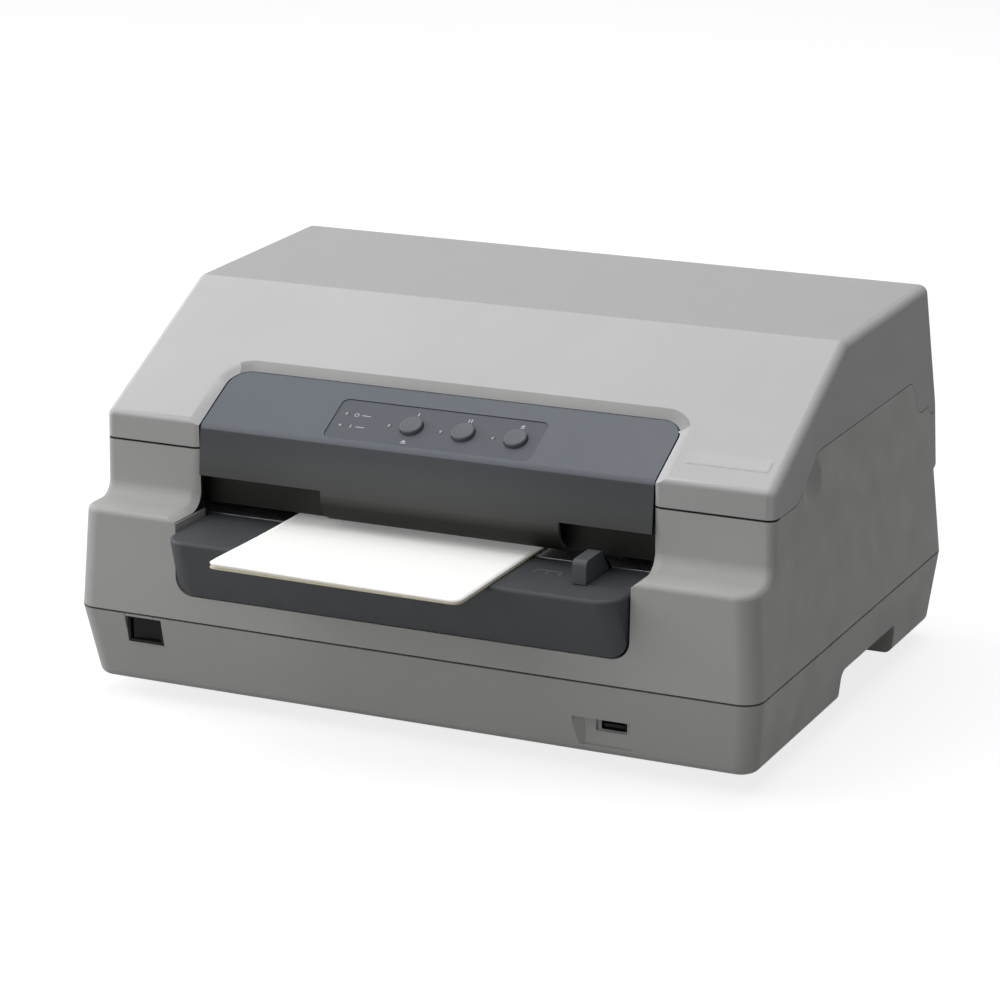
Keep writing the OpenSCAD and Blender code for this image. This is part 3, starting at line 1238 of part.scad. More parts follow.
// Toothed pulley between two flanges
module pulley(s) color("#d6d2c6") placed() motor_at(s) translate([0, 0, sheet_t + 0.4]) difference() {
    union() {
        cylinder(d = pulley_d + 2 * belt_t + 2, h = 1.2, $fn = fine_fn);
        cylinder(d = pulley_d - 0.4, h = belt_h + 4, $fn = fine_fn);
        translate([0, 0, belt_h + 2.8]) cylinder(d = pulley_d + 2 * belt_t + 2, h = 1.2, $fn = fine_fn);
    }
    translate([0, 0, -1]) cylinder(d = 4 + 2 * run_gap, h = belt_h + 8, $fn = fine_fn);
}
module drive_pulley() pulley(-1);
module idler_pulley() pulley(1);
module carriage_belt() color("#1f1f21") placed()
    translate([0, pulley_y, belt_z]) linear_extrude(belt_h) difference() {
    union() {
        for (s = [-1, 1]) translate([s * pulley_x, 0]) circle(pulley_d / 2 + belt_t, $fn = fine_fn);
        square([2 * pulley_x, pulley_d + 2 * belt_t], center = true);
    }
    for (s = [-1, 1]) translate([s * pulley_x, 0]) circle(pulley_d / 2, $fn = fine_fn);
    square([2 * pulley_x, pulley_d], center = true);
}

// Ribbon cartridge across the front of the carriage, hung on two pegs
arm_in = carriage_travel + carriage_w / 2 + 19;
arm_out = arm_in + 16;
module ribbon_cartridge() color("#26272a") placed() {
    mid = (cartridge[0] + cartridge[1]) / 2;
    difference() {
        union() {
            translate([0, 0, cartridge_z]) linear_extrude(cartridge_h)
                rounded(-cartridge_half, cartridge_half, cartridge[0], cartridge[1], 3);
            translate([0, mid, cartridge_z + cartridge_h - 1]) linear_extrude(2)
                rounded(-cartridge_half + 6, cartridge_half - 6, -9, 9, 2);
        }
        translate([knob_x, mid, cartridge_z + cartridge_h - 8])
            cylinder(d = 5 + 2 * run_gap, h = 20, $fn = fine_fn);
        for (i = [0 : 10]) translate([-50 + 14 * i, mid, cartridge_z + cartridge_h + 0.2])
            linear_extrude(3) rounded(-4, 4, -6, 6, 1);
    }
    for (s = [-1, 1]) {
        translate([s * (arm_in + arm_out) / 2, 0, 0]) along_x(arm_out - arm_in) polygon([
            [cartridge[1] - 1, cartridge_z],
            [cartridge[1] - 1, cartridge_z + 14],
            [print_line - 4, cartridge_z + 2],
            [print_line + 10, cartridge_z - 4],
            [print_line + 10, ribbon_z - 0.3],
            [print_line - 12, ribbon_z - 0.3]
        ]);
        rod_x(5, s * (cartridge_half + frame_out) / 2 - (frame_out - cartridge_half) / 2 - 0.5,
            s * (cartridge_half + frame_out) / 2 + (frame_out - cartridge_half) / 2 + 0.5,
            peg[0], peg[1] - 0.5);
    }
}
module ribbon() color("#151516") placed()
    box(-arm_in + 0.2, arm_in - 0.2, print_line - 6.4, print_line + 6.4, ribbon_z, ribbon_z + ribbon_t);
module ribbon_knob() color("#3f7d8c") placed()
    translate([knob_x, (cartridge[0] + cartridge[1]) / 2, cartridge_z + cartridge_h]) {
        translate([0, 0, -7]) cylinder(d = 5, h = 9, $fn = fine_fn);
        translate([0, 0, 1 + seat_gap]) linear_extrude(6) difference() {
            circle(9, $fn = fine_fn);
            for (i = [0 : 11]) rotate(30 * i) translate([9.6, 0]) circle(1.5, $fn = 24);
        }
    }

board_left = 163;
board_w = 166;
board_front = 70;
chip_t = 2.2;
module main_board() color("#2f6b45") placed() {
    x0 = -board_left;
    x1 = board_w - board_left;
    y0 = -board_front;
    y1 = port_face_y - 8.4;
    low = board_z + board_t;
    difference() {
        box(x0, x1, y0, y1, board_z, low);
        for (p = post_at) translate([p[0], p[1], board_z - 1]) cylinder(d = 14, h = 4, $fn = round_fn);
    }
    // Processor, memory, drivers with a heat sink, capacitors and headers
    for (p = [[-84, 6, 24, 24], [-48, 10, 18, 10], [-48, -8, 18, 10], [-90, 44, 14, 20], [-30, 50, 20, 8]])
        translate([p[0], p[1], low]) cube([p[2], p[3], chip_t]);
    for (i = [0 : 6]) translate([-56 + 5 * i, -52, low]) cube([1.6, 26, 14]);
    translate([-56, -52, low]) cube([31.6, 26, 3]);
    for (i = [0 : 3]) translate([-110, -50 + 16 * i, low]) cylinder(d = 11, h = 15, $fn = round_fn);
    for (i = [0 : 4]) translate([-18, -60 + 18 * i, low]) cube([8, 14, 7]);
}
// Power supply in a folded steel cage with slots
supply_x = 36;
supply_w = 92;
supply_front = 66;
supply_l = 172;
supply_h = 34;
supply_t = 1;
module power_supply() color("#a9adb1") placed() difference() {
    x0 = supply_x;
    x1 = supply_x + supply_w;
    y0 = -supply_front;
    y1 = supply_l - supply_front;
    z0 = foot_gap + wall + seat_gap;
    union() {
        difference() {
            box(x0, x1, y0, y1, z0, z0 + supply_h);
            box(x0 + supply_t, x1 - supply_t, y0 + supply_t, y1 - supply_t,
                z0 + supply_t, z0 + supply_h - supply_t);
        }
        // Board with its transformer, coil and capacitors
        box(x0 + supply_t, x1 - supply_t, y0 + supply_t, y1 - supply_t, z0 + 5, z0 + 5 + board_t);
        box(x0 + 24, x0 + 60, y0 + 52, y0 + 90, z0 + 6, z0 + 30);
        for (i = [0 : 2]) translate([x0 + 18 + 26 * i, y0 + 24, z0 + 6])
            cylinder(d = 20, h = 25, $fn = round_fn);
        translate([x0 + 42, y0 + 130, z0 + 6]) cylinder(d = 26, h = 14, $fn = round_fn);
    }
    for (i = [0 : 15]) translate([(x0 + x1) / 2, y0 + 18 + 9 * i, z0 + supply_h - 6]) linear_extrude(10)
        rounded(-34, 34, -1.6, 1.6, 1.5);
}

lower_case();
middle_case();
top_cover();
hinge_pins();
control_panel();
panel_overlay();
left_key();
middle_key();
right_key();
status_lights();
panel_board();
front_table();
edge_guide();
passbook();
power_switch();
power_rocker();
front_port();
power_inlet();
rear_ports();
rubber_feet();
chassis_plate();
chassis_screws();
left_side_frame();
right_side_frame();
front_stay();
rear_stay();
upper_stay();
paper_guide();
upper_paper_guide();
platen();
shaft_bushings();
front_feed_shaft();
front_feed_rollers();
front_feed_gear();
rear_feed_shaft();
rear_feed_rollers();
rear_feed_gear();
front_pinch_roller();
rear_pinch_roller();
feed_motor();
feed_pinion();
front_idler_gear();
rear_idler_gear();
idler_studs();
carriage_rods();
carriage();
print_head();
carriage_motor();
pulley_brackets();
drive_pulley();
idler_pulley();
carriage_belt();
ribbon_cartridge();
ribbon();
ribbon_knob();
main_board();
power_supply();
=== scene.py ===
"""A flatbed dot matrix printer on a pale floor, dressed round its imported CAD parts.

Places are in the part's own frame: X to the right, Y to the back, Z up, feet on Z = 0. They are in metres, and
the numbers that MM multiplies are in millimetres.
"""

import json
import math

import bmesh
import bpy
from mathutils import Matrix, Vector


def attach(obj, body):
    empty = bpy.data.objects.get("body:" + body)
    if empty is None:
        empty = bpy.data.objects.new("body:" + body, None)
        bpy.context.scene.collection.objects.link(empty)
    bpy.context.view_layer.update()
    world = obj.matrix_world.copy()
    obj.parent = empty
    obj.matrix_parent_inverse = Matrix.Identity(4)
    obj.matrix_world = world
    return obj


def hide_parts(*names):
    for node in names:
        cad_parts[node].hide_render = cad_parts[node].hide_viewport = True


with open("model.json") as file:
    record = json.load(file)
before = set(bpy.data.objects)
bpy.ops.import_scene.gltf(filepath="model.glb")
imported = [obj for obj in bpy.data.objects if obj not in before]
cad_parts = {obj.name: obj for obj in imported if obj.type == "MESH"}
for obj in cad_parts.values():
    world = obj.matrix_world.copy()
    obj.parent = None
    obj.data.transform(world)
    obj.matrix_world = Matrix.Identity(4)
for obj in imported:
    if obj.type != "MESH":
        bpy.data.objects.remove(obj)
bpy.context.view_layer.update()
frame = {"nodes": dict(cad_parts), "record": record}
NODES = frame["nodes"]
SCENE = bpy.context.scene
MM = 0.001

# ---------------------------------------------------------------- camera

CAMERA_AT = Vector((0.77303, -1.60694, 0.64511))
CAMERA_YAW = math.radians(25.69)
CAMERA_PITCH = math.radians(17.03)
CAMERA_ROLL = math.radians(-0.59)
CAMERA_LENS = 127.15
SENSOR = 36.0


def make_camera():
    """The photograph's view: turned left of straight ahead, looking down, with a slight roll."""
    ahead = Vector((
        -math.sin(CAMERA_YAW) * math.cos(CAMERA_PITCH),
        math.cos(CAMERA_YAW) * math.cos(CAMERA_PITCH),
        -math.sin(CAMERA_PITCH),
    ))
    level = Vector((math.cos(CAMERA_YAW), math.sin(CAMERA_YAW), 0.0))
    up = level.cross(ahead)
    right = level * math.cos(CAMERA_ROLL) + up * math.sin(CAMERA_ROLL)
    up = up * math.cos(CAMERA_ROLL) - level * math.sin(CAMERA_ROLL)
    data = bpy.data.cameras.new("photo_camera")
    data.lens = CAMERA_LENS
    data.sensor_width = SENSOR
    data.sensor_fit = "AUTO"
    data.clip_start = 0.05
    data.clip_end = 50.0
    camera = bpy.data.objects.new("photo_camera", data)
    SCENE.collection.objects.link(camera)
    turn = Matrix((right, up, -ahead)).transposed().to_4x4()
    camera.matrix_world = Matrix.Translation(CAMERA_AT) @ turn
    SCENE.camera = camera


# ---------------------------------------------------------------- light

LOOK_AT = Vector((0.0, 0.0, 0.1))
WORLD_FILL = 0.1
LAMPS = (
    ("over_soft", (0.0, 0.1, 2.6), (2.0, 2.0), 30),
    ("front_high_soft", (-1.5, -1.3, 1.9), (1.6, 1.6), 14),
    ("front_low_soft", (-0.4, -2.9, 0.9), (2.4, 1.0), 12.5),
    ("left_soft", (-2.7, -0.3, 1.3), (1.6, 1.6), 38),
    ("back_soft", (-0.3, 1.7, 2.2), (1.6, 1.2), 8),
)


def area_light(name, place, size, power):
    """A soft rectangular lamp that looks at the middle of the printer."""
    data = bpy.data.lights.new(name, "AREA")
    data.shape = "RECTANGLE"
    data.size = size[0]
    data.size_y = size[1]
    data.energy = power
    lamp = bpy.data.objects.new(name, data)
    SCENE.collection.objects.link(lamp)
    lamp.location = place
    lamp.rotation_euler = (LOOK_AT - Vector(place)).to_track_quat("-Z", "Y").to_euler()


def seen_directly(nodes, links):
    """1 where the camera, a reflection or a clear piece looks, and 0 for light that falls on the object."""
    path = nodes.new("ShaderNodeLightPath")
    most = path.outputs["Is Camera Ray"]
    for kind in ("Is Glossy Ray", "Is Transmission Ray"):
        node = nodes.new("ShaderNodeMath")
        node.operation = "MAXIMUM"
        links.new(most, node.inputs[0])
        links.new(path.outputs[kind], node.inputs[1])
        most = node.outputs[0]
    return most


def make_light():
    """Large soft lamps above, to the left and in front, a little fill from all round, a white background."""
    world = bpy.data.worlds.new("studio")
    SCENE.world = world
    world.use_nodes = True
    nodes, links = world.node_tree.nodes, world.node_tree.links
    fill = nodes["Background"]
    fill.inputs["Color"].default_value = (1.0, 1.0, 1.0, 1.0)
    fill.inputs["Strength"].default_value = WORLD_FILL
    backdrop = nodes.new("ShaderNodeBackground")
    backdrop.inputs["Color"].default_value = (1.0, 1.0, 1.0, 1.0)
    backdrop.inputs["Strength"].default_value = 1.0
    mix = nodes.new("ShaderNodeMixShader")
    links.new(seen_directly(nodes, links), mix.inputs["Fac"])
    links.new(fill.outputs[0], mix.inputs[1])
    links.new(backdrop.outputs[0], mix.inputs[2])
    links.new(mix.outputs[0], nodes["World Output"].inputs["Surface"])
    for lamp in LAMPS:
        area_light(*lamp)
    SCENE.view_settings.view_transform = "Standard"
    SCENE.view_settings.look = "None"
    SCENE.view_settings.exposure = 0.0
    SCENE.view_settings.gamma = 1.0


# ---------------------------------------------------------------- materials

def srgb(value):
    """A display value from 0 to 255, as the linear value that the shader takes."""
    v = value / 255.0
    return v / 12.92 if v <= 0.04045 else ((v + 0.055) / 1.055) ** 2.4


def linear(colour):
    """Three display values as a linear colour."""
    return tuple(srgb(c) for c in colour)


NOISE_SPAN = (0.3, 0.7)     # the part of a noise that carries its changes
MIX_FIRST, MIX_SECOND, MIX_COLOUR = 6, 7, 2     # the colour sockets of a Mix node


class Shade:
    """A small helper that builds one node material."""

    def __init__(self, name):
        self.material = bpy.data.materials.new(name)
        self.material.use_nodes = True
        self.tree = self.material.node_tree
        self.nodes = self.tree.nodes
        self.shader = self.nodes["Principled BSDF"]
        self.coordinates = self.nodes.new("ShaderNodeTexCoord").outputs
        self.place = self.coordinates["Object"]

    def link(self, source, target):
        self.tree.links.new(source, target)

    def noise(self, scale, detail=3.0, rough=0.55, stretch=None):
        node = self.nodes.new("ShaderNodeTexNoise")
        node.inputs["Scale"].default_value = scale
        node.inputs["Detail"].default_value = detail
        node.inputs["Roughness"].default_value = rough
        source = self.place
        if stretch:
            mapping = self.nodes.new("ShaderNodeMapping")
            mapping.inputs["Scale"].default_value = stretch
            self.link(source, mapping.inputs["Vector"])
            source = mapping.outputs["Vector"]
        self.link(source, node.inputs["Vector"])
        return node.outputs["Fac"]

    def cells(self, scale):
        node = self.nodes.new("ShaderNodeTexVoronoi")
        node.feature = "SMOOTH_F1"
        node.inputs["Scale"].default_value = scale
        self.link(self.place, node.inputs["Vector"])
        return node.outputs["Distance"]

    def ramp(self, source, low, high):
        """A colour that goes from low to high over the middle of a noise."""
        node = self.nodes.new("ShaderNodeValToRGB")
        for element, position, colour in zip(node.color_ramp.elements, NOISE_SPAN, (low, high)):
            element.position = position
            element.color = (*colour, 1.0)
        self.link(source, node.inputs["Fac"])
        return node.outputs["Color"]

    def spread(self, source, low, high, span=None):
        """A number that goes from low to high over a span of its source."""
        start, end = span or NOISE_SPAN
        node = self.nodes.new("ShaderNodeMapRange")
        node.inputs["From Min"].default_value = start
        node.inputs["From Max"].default_value = end
        node.inputs["To Min"].default_value = low
        node.inputs["To Max"].default_value = high
        self.link(source, node.inputs["Value"])
        return node.outputs["Result"]

    def part_of_place(self, axis):
        node = self.nodes.new("ShaderNodeSeparateXYZ")
        self.link(self.place, node.inputs[0])
        return node.outputs[axis]

    def math(self, operation, *values):
        node = self.nodes.new("ShaderNodeMath")
        node.operation = operation
        for number, value in enumerate(values):
            if isinstance(value, float):
                node.inputs[number].default_value = value
            else:
                self.link(value, node.inputs[number])
        return node.outputs[0]

    def mixed(self, share, first, colour):
        """A tone that turns into a plain colour by a share."""
        node = self.nodes.new("ShaderNodeMix")
        node.data_type = "RGBA"
        self.link(share, node.inputs[0])
        self.link(first, node.inputs[MIX_FIRST])
        node.inputs[MIX_SECOND].default_value = (*colour, 1.0)
        return node.outputs[MIX_COLOUR]

    def facing(self, axis, low, high):
        """0 to 1 as the surface turns towards an axis of the piece."""
        split = self.nodes.new("ShaderNodeSeparateXYZ")
        self.link(self.coordinates["Normal"], split.inputs[0])
        return self.spread(split.outputs[axis], 0.0, 1.0, (low, high))

    def painted_seam_shade(self, tone, height, half, forward):
        """A dark line of painted shade along a seam's gap at one height, only in front of a place where one is
        given.
        """
        share = self.math("COMPARE", self.part_of_place("Z"), height, half)
        if forward is not None:
            ahead = self.math("LESS_THAN", self.part_of_place("Y"), forward)
            share = self.math("MULTIPLY", share, ahead)
        return self.mixed(share, tone, SEAM_SHADE_COLOUR)

    def by_height(self, tone, base, stops):
        """Multiplies a tone by steps of colour at heights, from low to high."""
        low, high = stops[0][0], stops[-1][0]
        rise = self.spread(self.part_of_place("Z"), 0.0, 1.0, (low, high))
        steps = self.nodes.new("ShaderNodeValToRGB")
        elements = steps.color_ramp.elements
        while len(elements) < len(stops):
            elements.new(0.5)
        for element, (height, _) in zip(elements, stops):
            element.position = (height - low) / (high - low)
        for element, (_, colour) in zip(elements, stops):
            element.color = (*(c / b for c, b in zip(linear(colour), base)), 1.0)
        self.link(rise, steps.inputs["Fac"])
        node = self.nodes.new("ShaderNodeMix")
        node.data_type = "RGBA"
        node.blend_type = "MULTIPLY"
        node.inputs[0].default_value = 1.0
        self.link(tone, node.inputs[MIX_FIRST])
        self.link(steps.outputs["Color"], node.inputs[MIX_SECOND])
        return node.outputs[MIX_COLOUR]

    def bump(self, source, depth, strength=1.0, under=None):
        node = self.nodes.new("ShaderNodeBump")
        node.inputs["Distance"].default_value = depth
        node.inputs["Strength"].default_value = strength
        self.link(source, node.inputs["Height"])
        if under:
            self.link(under, node.inputs["Normal"])
        return node.outputs["Normal"]

    def set(self, socket, value):
        self.shader.inputs[socket].default_value = value


def tinted(colour, share):
    """A colour made lighter or darker by a share."""
    return tuple(min(1.0, c * (1.0 + share)) for c in colour)


# The seams, darkened along their gaps with painted shade: the height, half the width, and the place that they
# lie in front of
SEAMS = ((0.0502, 0.00045, None), (0.1348, 0.00055, -0.0790))
# The colour of the painted shade in the seams' gaps
SEAM_SHADE_COLOUR = linear((52, 52, 49))
TONE_DRIFT = 0.035


def moulded(
    name, colour, rough=0.5, grain=0.00006, grain_scale=1500, gloss=0.25, seams=(), heights=(), faces=(),
):
    """Moulded plastic: a fine eroded grain, slow changes of tone, and uneven roughness.

    Painted shade darkens the rims along seams. Heights gives colours from low to high, painted shade darker
    towards the bottom. Faces gives an axis, the span of the surface's turn towards it, and the colour there,
    as painted shade.
    """
    s = Shade(name)
    base = linear(colour)
    tone = s.ramp(s.noise(9, 4), tinted(base, -TONE_DRIFT), tinted(base, TONE_DRIFT))
    # Painted shade: the tone darkens towards the bottom by height
    if heights:
        tone = s.by_height(tone, base, heights)
    # Painted shade: faces that turn towards an axis take a darker colour
    for axis, low, high, shaded_colour in faces:
        tone = s.mixed(s.facing(axis, low, high), tone, linear(shaded_colour))
    # Painted shade: a dark line along each seam's gap
    for height, half, forward in seams:
        tone = s.painted_seam_shade(tone, height, half, forward)
    s.link(tone, s.shader.inputs["Base Color"])
    s.link(s.spread(s.noise(60, 3), rough - 0.05, rough + 0.05), s.shader.inputs["Roughness"])
    fine = s.bump(s.noise(grain_scale, 2, 0.6), grain, 0.7)
    s.link(s.bump(s.cells(grain_scale * 0.6), grain * 0.6, 0.5, fine), s.shader.inputs["Normal"])
    s.set("Specular IOR Level", gloss)
    return s.material


def metal(name, colour, rough=0.32, brushed=(1, 40, 40), depth=0.00001):
    """Plated or ground metal with a fine directional grain."""
    s = Shade(name)
    base = linear(colour)
    s.link(s.ramp(s.noise(30, 3), tinted(base, -0.06), tinted(base, 0.05)), s.shader.inputs["Base Color"])
    grain = s.noise(60, 4, 0.6, brushed)
    s.link(s.spread(grain, rough - 0.08, rough + 0.1), s.shader.inputs["Roughness"])
    s.link(s.bump(grain, depth), s.shader.inputs["Normal"])
    s.set("Metallic", 1.0)
    return s.material


def rubbery(name, colour, rough=0.75):
    """Matt rubber."""
    s = Shade(name)
    base = linear(colour)
    s.link(s.ramp(s.noise(80, 4), tinted(base, -0.1), tinted(base, 0.15)), s.shader.inputs["Base Color"])
    s.link(s.bump(s.noise(900, 3), 0.00005), s.shader.inputs["Normal"])
    s.set("Roughness", rough)
    return s.material


def circuit(name):
    """Solder mask with faint tracks."""
    s = Shade(name)
    tracks = s.nodes.new("ShaderNodeTexBrick")
    tracks.inputs["Scale"].default_value = 120
    tracks.inputs["Color1"].default_value = (*linear((30, 92, 58)), 1)
    tracks.inputs["Color2"].default_value = (*linear((36, 104, 64)), 1)
    tracks.inputs["Mortar"].default_value = (*linear((66, 138, 92)), 1)
    tracks.inputs["Mortar Size"].default_value = 0.03
    s.link(s.place, tracks.inputs["Vector"])
    s.link(tracks.outputs["Color"], s.shader.inputs["Base Color"])
    s.link(s.bump(tracks.outputs["Fac"], 0.00004), s.shader.inputs["Normal"])
    s.set("Roughness", 0.35)
    s.set("Coat Weight", 0.3)
    return s.material


def papery(name, colour, line=0.0, white=0.0):
    """Paper: soft fibres, with a painted glow that makes it brighter than its light, where one is given."""
    s = Shade(name)
    base = linear(colour)
    fibres = s.ramp(s.noise(240, 5, 0.7), tinted(base, -0.02 - line), tinted(base, 0.01))
    s.link(fibres, s.shader.inputs["Base Color"])
    s.link(s.bump(s.noise(1800, 4, 0.7), 0.00002), s.shader.inputs["Normal"])
    s.set("Roughness", 0.85)
    s.set("Specular IOR Level", 0.2)
    # Painted light: the paper glows whatever light falls on it
    s.set("Emission Color", (1.0, 1.0, 1.0, 1.0))
    s.set("Emission Strength", white)
    return s.material


def clear_cap(name, colour):
    """The cloudy lens of a status light."""
    s = Shade(name)
    base = linear(colour)
    s.link(s.ramp(s.noise(400, 2), tinted(base, -0.08), tinted(base, 0.08)), s.shader.inputs["Base Color"])
    s.set("Roughness", 0.22)
    s.set("Coat Weight", 0.5)
    s.set("Transmission Weight", 0.25)
    return s.material


MATERIALS = {
    # The cover's top and its front are painted darker than its slope by the way they face: painted shade
    "cover": moulded("cover_plastic", (206, 206, 207), 0.62, gloss=0.08, seams=SEAMS, faces=(
        ("Z", 0.93, 0.99, (184, 184, 185)), ("Y", -0.85, -0.97, (184, 184, 183)))),
    # Painted shade: a darker copy of the cover plastic for the bevel over the panel
    "cover_painted_shade": moulded("cover_painted_shade", (170, 170, 169), 0.62, gloss=0.08),
    "case": moulded("case_plastic", (181, 181, 179), 0.58, seams=SEAMS),
    "slate": moulded("slate_plastic", (104, 109, 116), 0.42, 0.00003),
    # Painted shade: the panel's front under the overhang, darker towards the lip at the bottom
    "slate_painted_shade": moulded("slate_front_painted_shade", (84, 86, 89), 0.5, 0.00003, gloss=0.15, heights=(
        (0.1035, (26, 27, 21)), (0.1130, (40, 41, 35)), (0.1195, (80, 81, 79)), (0.1310, (86, 88, 89)),
        (0.1460, (81, 83, 87)))),
    "overlay": moulded("overlay_film", (92, 96, 103), 0.5, 0.00004, 2200),
    "key": moulded("key_plastic", (104, 107, 113), 0.4, 0.00002),
    "light": clear_cap("light_cap", (178, 182, 176)),
    "table": moulded("table_plastic", (70, 73, 76), 0.5, 0.00008),
    "guide": moulded("guide_plastic", (84, 87, 90), 0.45, 0.00004),
    # The page and the inner leaves are given a painted glow
    "page": papery("page_paper", (254, 254, 251), white=0.16),
    "leaf_paper": papery("leaf_paper", (246, 243, 230), 0.02, 0.08),
    "edge_paper": papery("cover_paper", (222, 214, 186), 0.02),
    "plate": moulded("bare_plate", (203, 203, 204), 0.4, 0.00001),
    "ink": moulded("pale_ink", (205, 208, 212), 0.6, 0.00001),
    "faint_ink": moulded("faint_ink", (118, 122, 126), 0.6, 0.00001),
    "black": moulded("black_plastic", (25, 25, 24), 0.5, 0.00004, gloss=0.15),
    "dark": moulded("dark_plastic", (33, 33, 30), 0.48, 0.00005),
    "rubber": rubbery("foot_rubber", (42, 42, 42)),
    "roller": rubbery("roller_rubber", (62, 62, 64), 0.68),
    "steel": metal("plated_steel", (176, 180, 184)),
    "shaft": metal("ground_steel", (200, 202, 206), 0.2, (40, 1, 40)),
    "brass": metal("sintered_brass", (186, 150, 90), 0.4),
    "gear": moulded("gear_nylon", (222, 218, 206), 0.45, 0.00003),
    "motor": metal("motor_can", (152, 156, 160), 0.38),
    "board": circuit("board_mask"),
    "teal": moulded("knob_plastic", (66, 124, 138), 0.45, 0.00004),
}

FINISH = {
    "lower_case": "case", "middle_case": "case", "top_cover": "cover", "hinge_pins": "shaft",
    "control_panel": "slate", "panel_overlay": "overlay", "left_key": "key", "middle_key": "key",
    "right_key": "key", "status_lights": "light", "panel_board": "board", "front_table": "table",
    "edge_guide": "guide", "passbook": "page", "power_switch": "black", "power_rocker": "black",
    "front_port": "black", "power_inlet": "black", "rear_ports": "steel", "rubber_feet": "rubber",
    "chassis_plate": "steel", "chassis_screws": "steel", "left_side_frame": "steel",
    "right_side_frame": "steel", "front_stay": "steel", "rear_stay": "steel", "upper_stay": "steel",
    "paper_guide": "steel", "upper_paper_guide": "dark", "platen": "roller", "shaft_bushings": "brass",
    "front_feed_shaft": "shaft", "front_feed_rollers": "roller", "front_feed_gear": "gear",
    "rear_feed_shaft": "shaft", "rear_feed_rollers": "roller", "rear_feed_gear": "gear",
    "front_pinch_roller": "roller", "rear_pinch_roller": "roller", "feed_motor": "motor",
    "feed_pinion": "brass", "front_idler_gear": "gear", "rear_idler_gear": "gear", "idler_studs": "shaft",
    "carriage_rods": "shaft", "carriage": "dark", "print_head": "motor", "carriage_motor": "motor",
    "pulley_brackets": "steel", "drive_pulley": "gear", "idler_pulley": "gear", "carriage_belt": "rubber",
    "ribbon_cartridge": "dark", "ribbon": "black", "ribbon_knob": "teal", "main_board": "board",
    "power_supply": "steel",
}


def body_of(node):
    """The CAD body that holds a node."""
    bodies = frame["record"]["behaviour"]["bodies"]
    return next(body for body, members in bodies.items() if node in members)


# ---------------------------------------------------------------- skins

MERGE_WITHIN = 0.000004
FLAT_WITHIN = math.radians(0.4)
EASED_FROM = math.radians(35)
SHARP_FROM = 32.0
EASED_EDGE = 0.3
PLAIN_EDGES = ("carriage_belt", "ribbon", "status_lights")


def set_material(obj, material):
    obj.data.materials.clear()
    obj.data.materials.append(material)


def apply_modifiers(obj):
    """Swaps a piece's mesh for the one that its modifiers make."""
    bpy.context.view_layer.update()
    graph = bpy.context.evaluated_depsgraph_get()
    mesh = bpy.data.meshes.new_from_object(obj.evaluated_get(graph))
    obj.modifiers.clear()
    obj.data = mesh


def mark_sharp(mesh, angle):
    """Marks the edges that turn by an angle in degrees or more, and open ones, as sharp."""
    bm = bmesh.new()
    bm.from_mesh(mesh)
    for line in bm.edges:
        if len(line.link_faces) == 2:
            line.smooth = line.calc_face_angle(0.0) < math.radians(angle)
        else:
            line.smooth = False
    bm.to_mesh(mesh)
    bm.free()


def skin(node):
    """Stands in for a CAD node with its own mesh: joined, its flat faces merged and its edges eased."""
    mesh = NODES[node].data.copy()
    bm = bmesh.new()
    bm.from_mesh(mesh)
    bmesh.ops.remove_doubles(bm, verts=bm.verts, dist=MERGE_WITHIN)
    bmesh.ops.dissolve_limit(bm, angle_limit=FLAT_WITHIN, verts=bm.verts, edges=bm.edges)
    if node in RESHAPE:
        RESHAPE[node](bm)
    bm.to_mesh(mesh)
    bm.free()
    piece = bpy.data.objects.new(node + "_skin", mesh)
    SCENE.collection.objects.link(piece)
    set_material(piece, MATERIALS[FINISH[node]])
    if node not in PLAIN_EDGES:
        bevel = piece.modifiers.new("eased", "BEVEL")
        bevel.width = EASED_EDGE * MM
        bevel.segments = 2
        bevel.limit_method = "ANGLE"
        bevel.angle_limit = EASED_FROM
        bevel.use_clamp_overlap = True
        bevel.harden_normals = False
    for face in piece.data.polygons:
        face.use_smooth = True
    apply_modifiers(piece)
    mark_sharp(piece.data, SHARP_FROM)
    weighted = piece.modifiers.new("weighted", "WEIGHTED_NORMAL")
    weighted.keep_sharp = True
    weighted.weight = 60
    apply_modifiers(piece)
    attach(piece, body_of(node))
    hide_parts(node)
    return piece


# ---------------------------------------------------------------- the shoulders' fillets

FILLET_Y, FILLET_Z = -95.5, 112.6     # its centre line, beside the band
FILLET_R = 8.0
FILLET_REACH = 8.57                   # to the leaning face of the band
ON_FILLET = 0.03                      # how near the hollow a point lies that belongs to it
NEAR = 0.02                           # how near counts as on the quarter turn
SOLID_END_X = 187.9                   # where the solid's fillet ends
SOLID_END_LOW = 102.9                 # the faces of that end lie above this
AT_END = 0.05                         # how near counts as at that end
END_X = 181.9                         # where the rolled end begins
END_LAP = 0.5                         # how far the hollow runs in under the rolled end
BAND_ARC = (186.33, -86.0)            # on the band's round corner, behind the fillet's end
SHOULDER_Z = 104.6                    # the top of the shoulder
SIDE_X, SIDE_LEAN = 188.48, 0.01      # the case's side at the shoulder, and how it leans in above
END_EDGE_R, END_EDGE_GROWS = 3.52, 1.5    # the rolled edge at the shoulder, and how much rounder it gets
END_PROUD = 0.012                     # how far the rolled end stands out of the hollow
END_DEEP = 11.0                       # how far it goes in
END_STEPS, END_TURNS = 14, 8          # the steps along it and round its edge
END_SHARP_FROM = 40
GUIDE_TOP_Z, GUIDE_TOP_Y = 0.106, -0.085  # the rear top of the edge guide lies past these, in metres
GUIDE_LEAN = 10.0


def at_solid_end(vert):
    return abs(abs(vert.co.x) / MM - SOLID_END_X) < AT_END


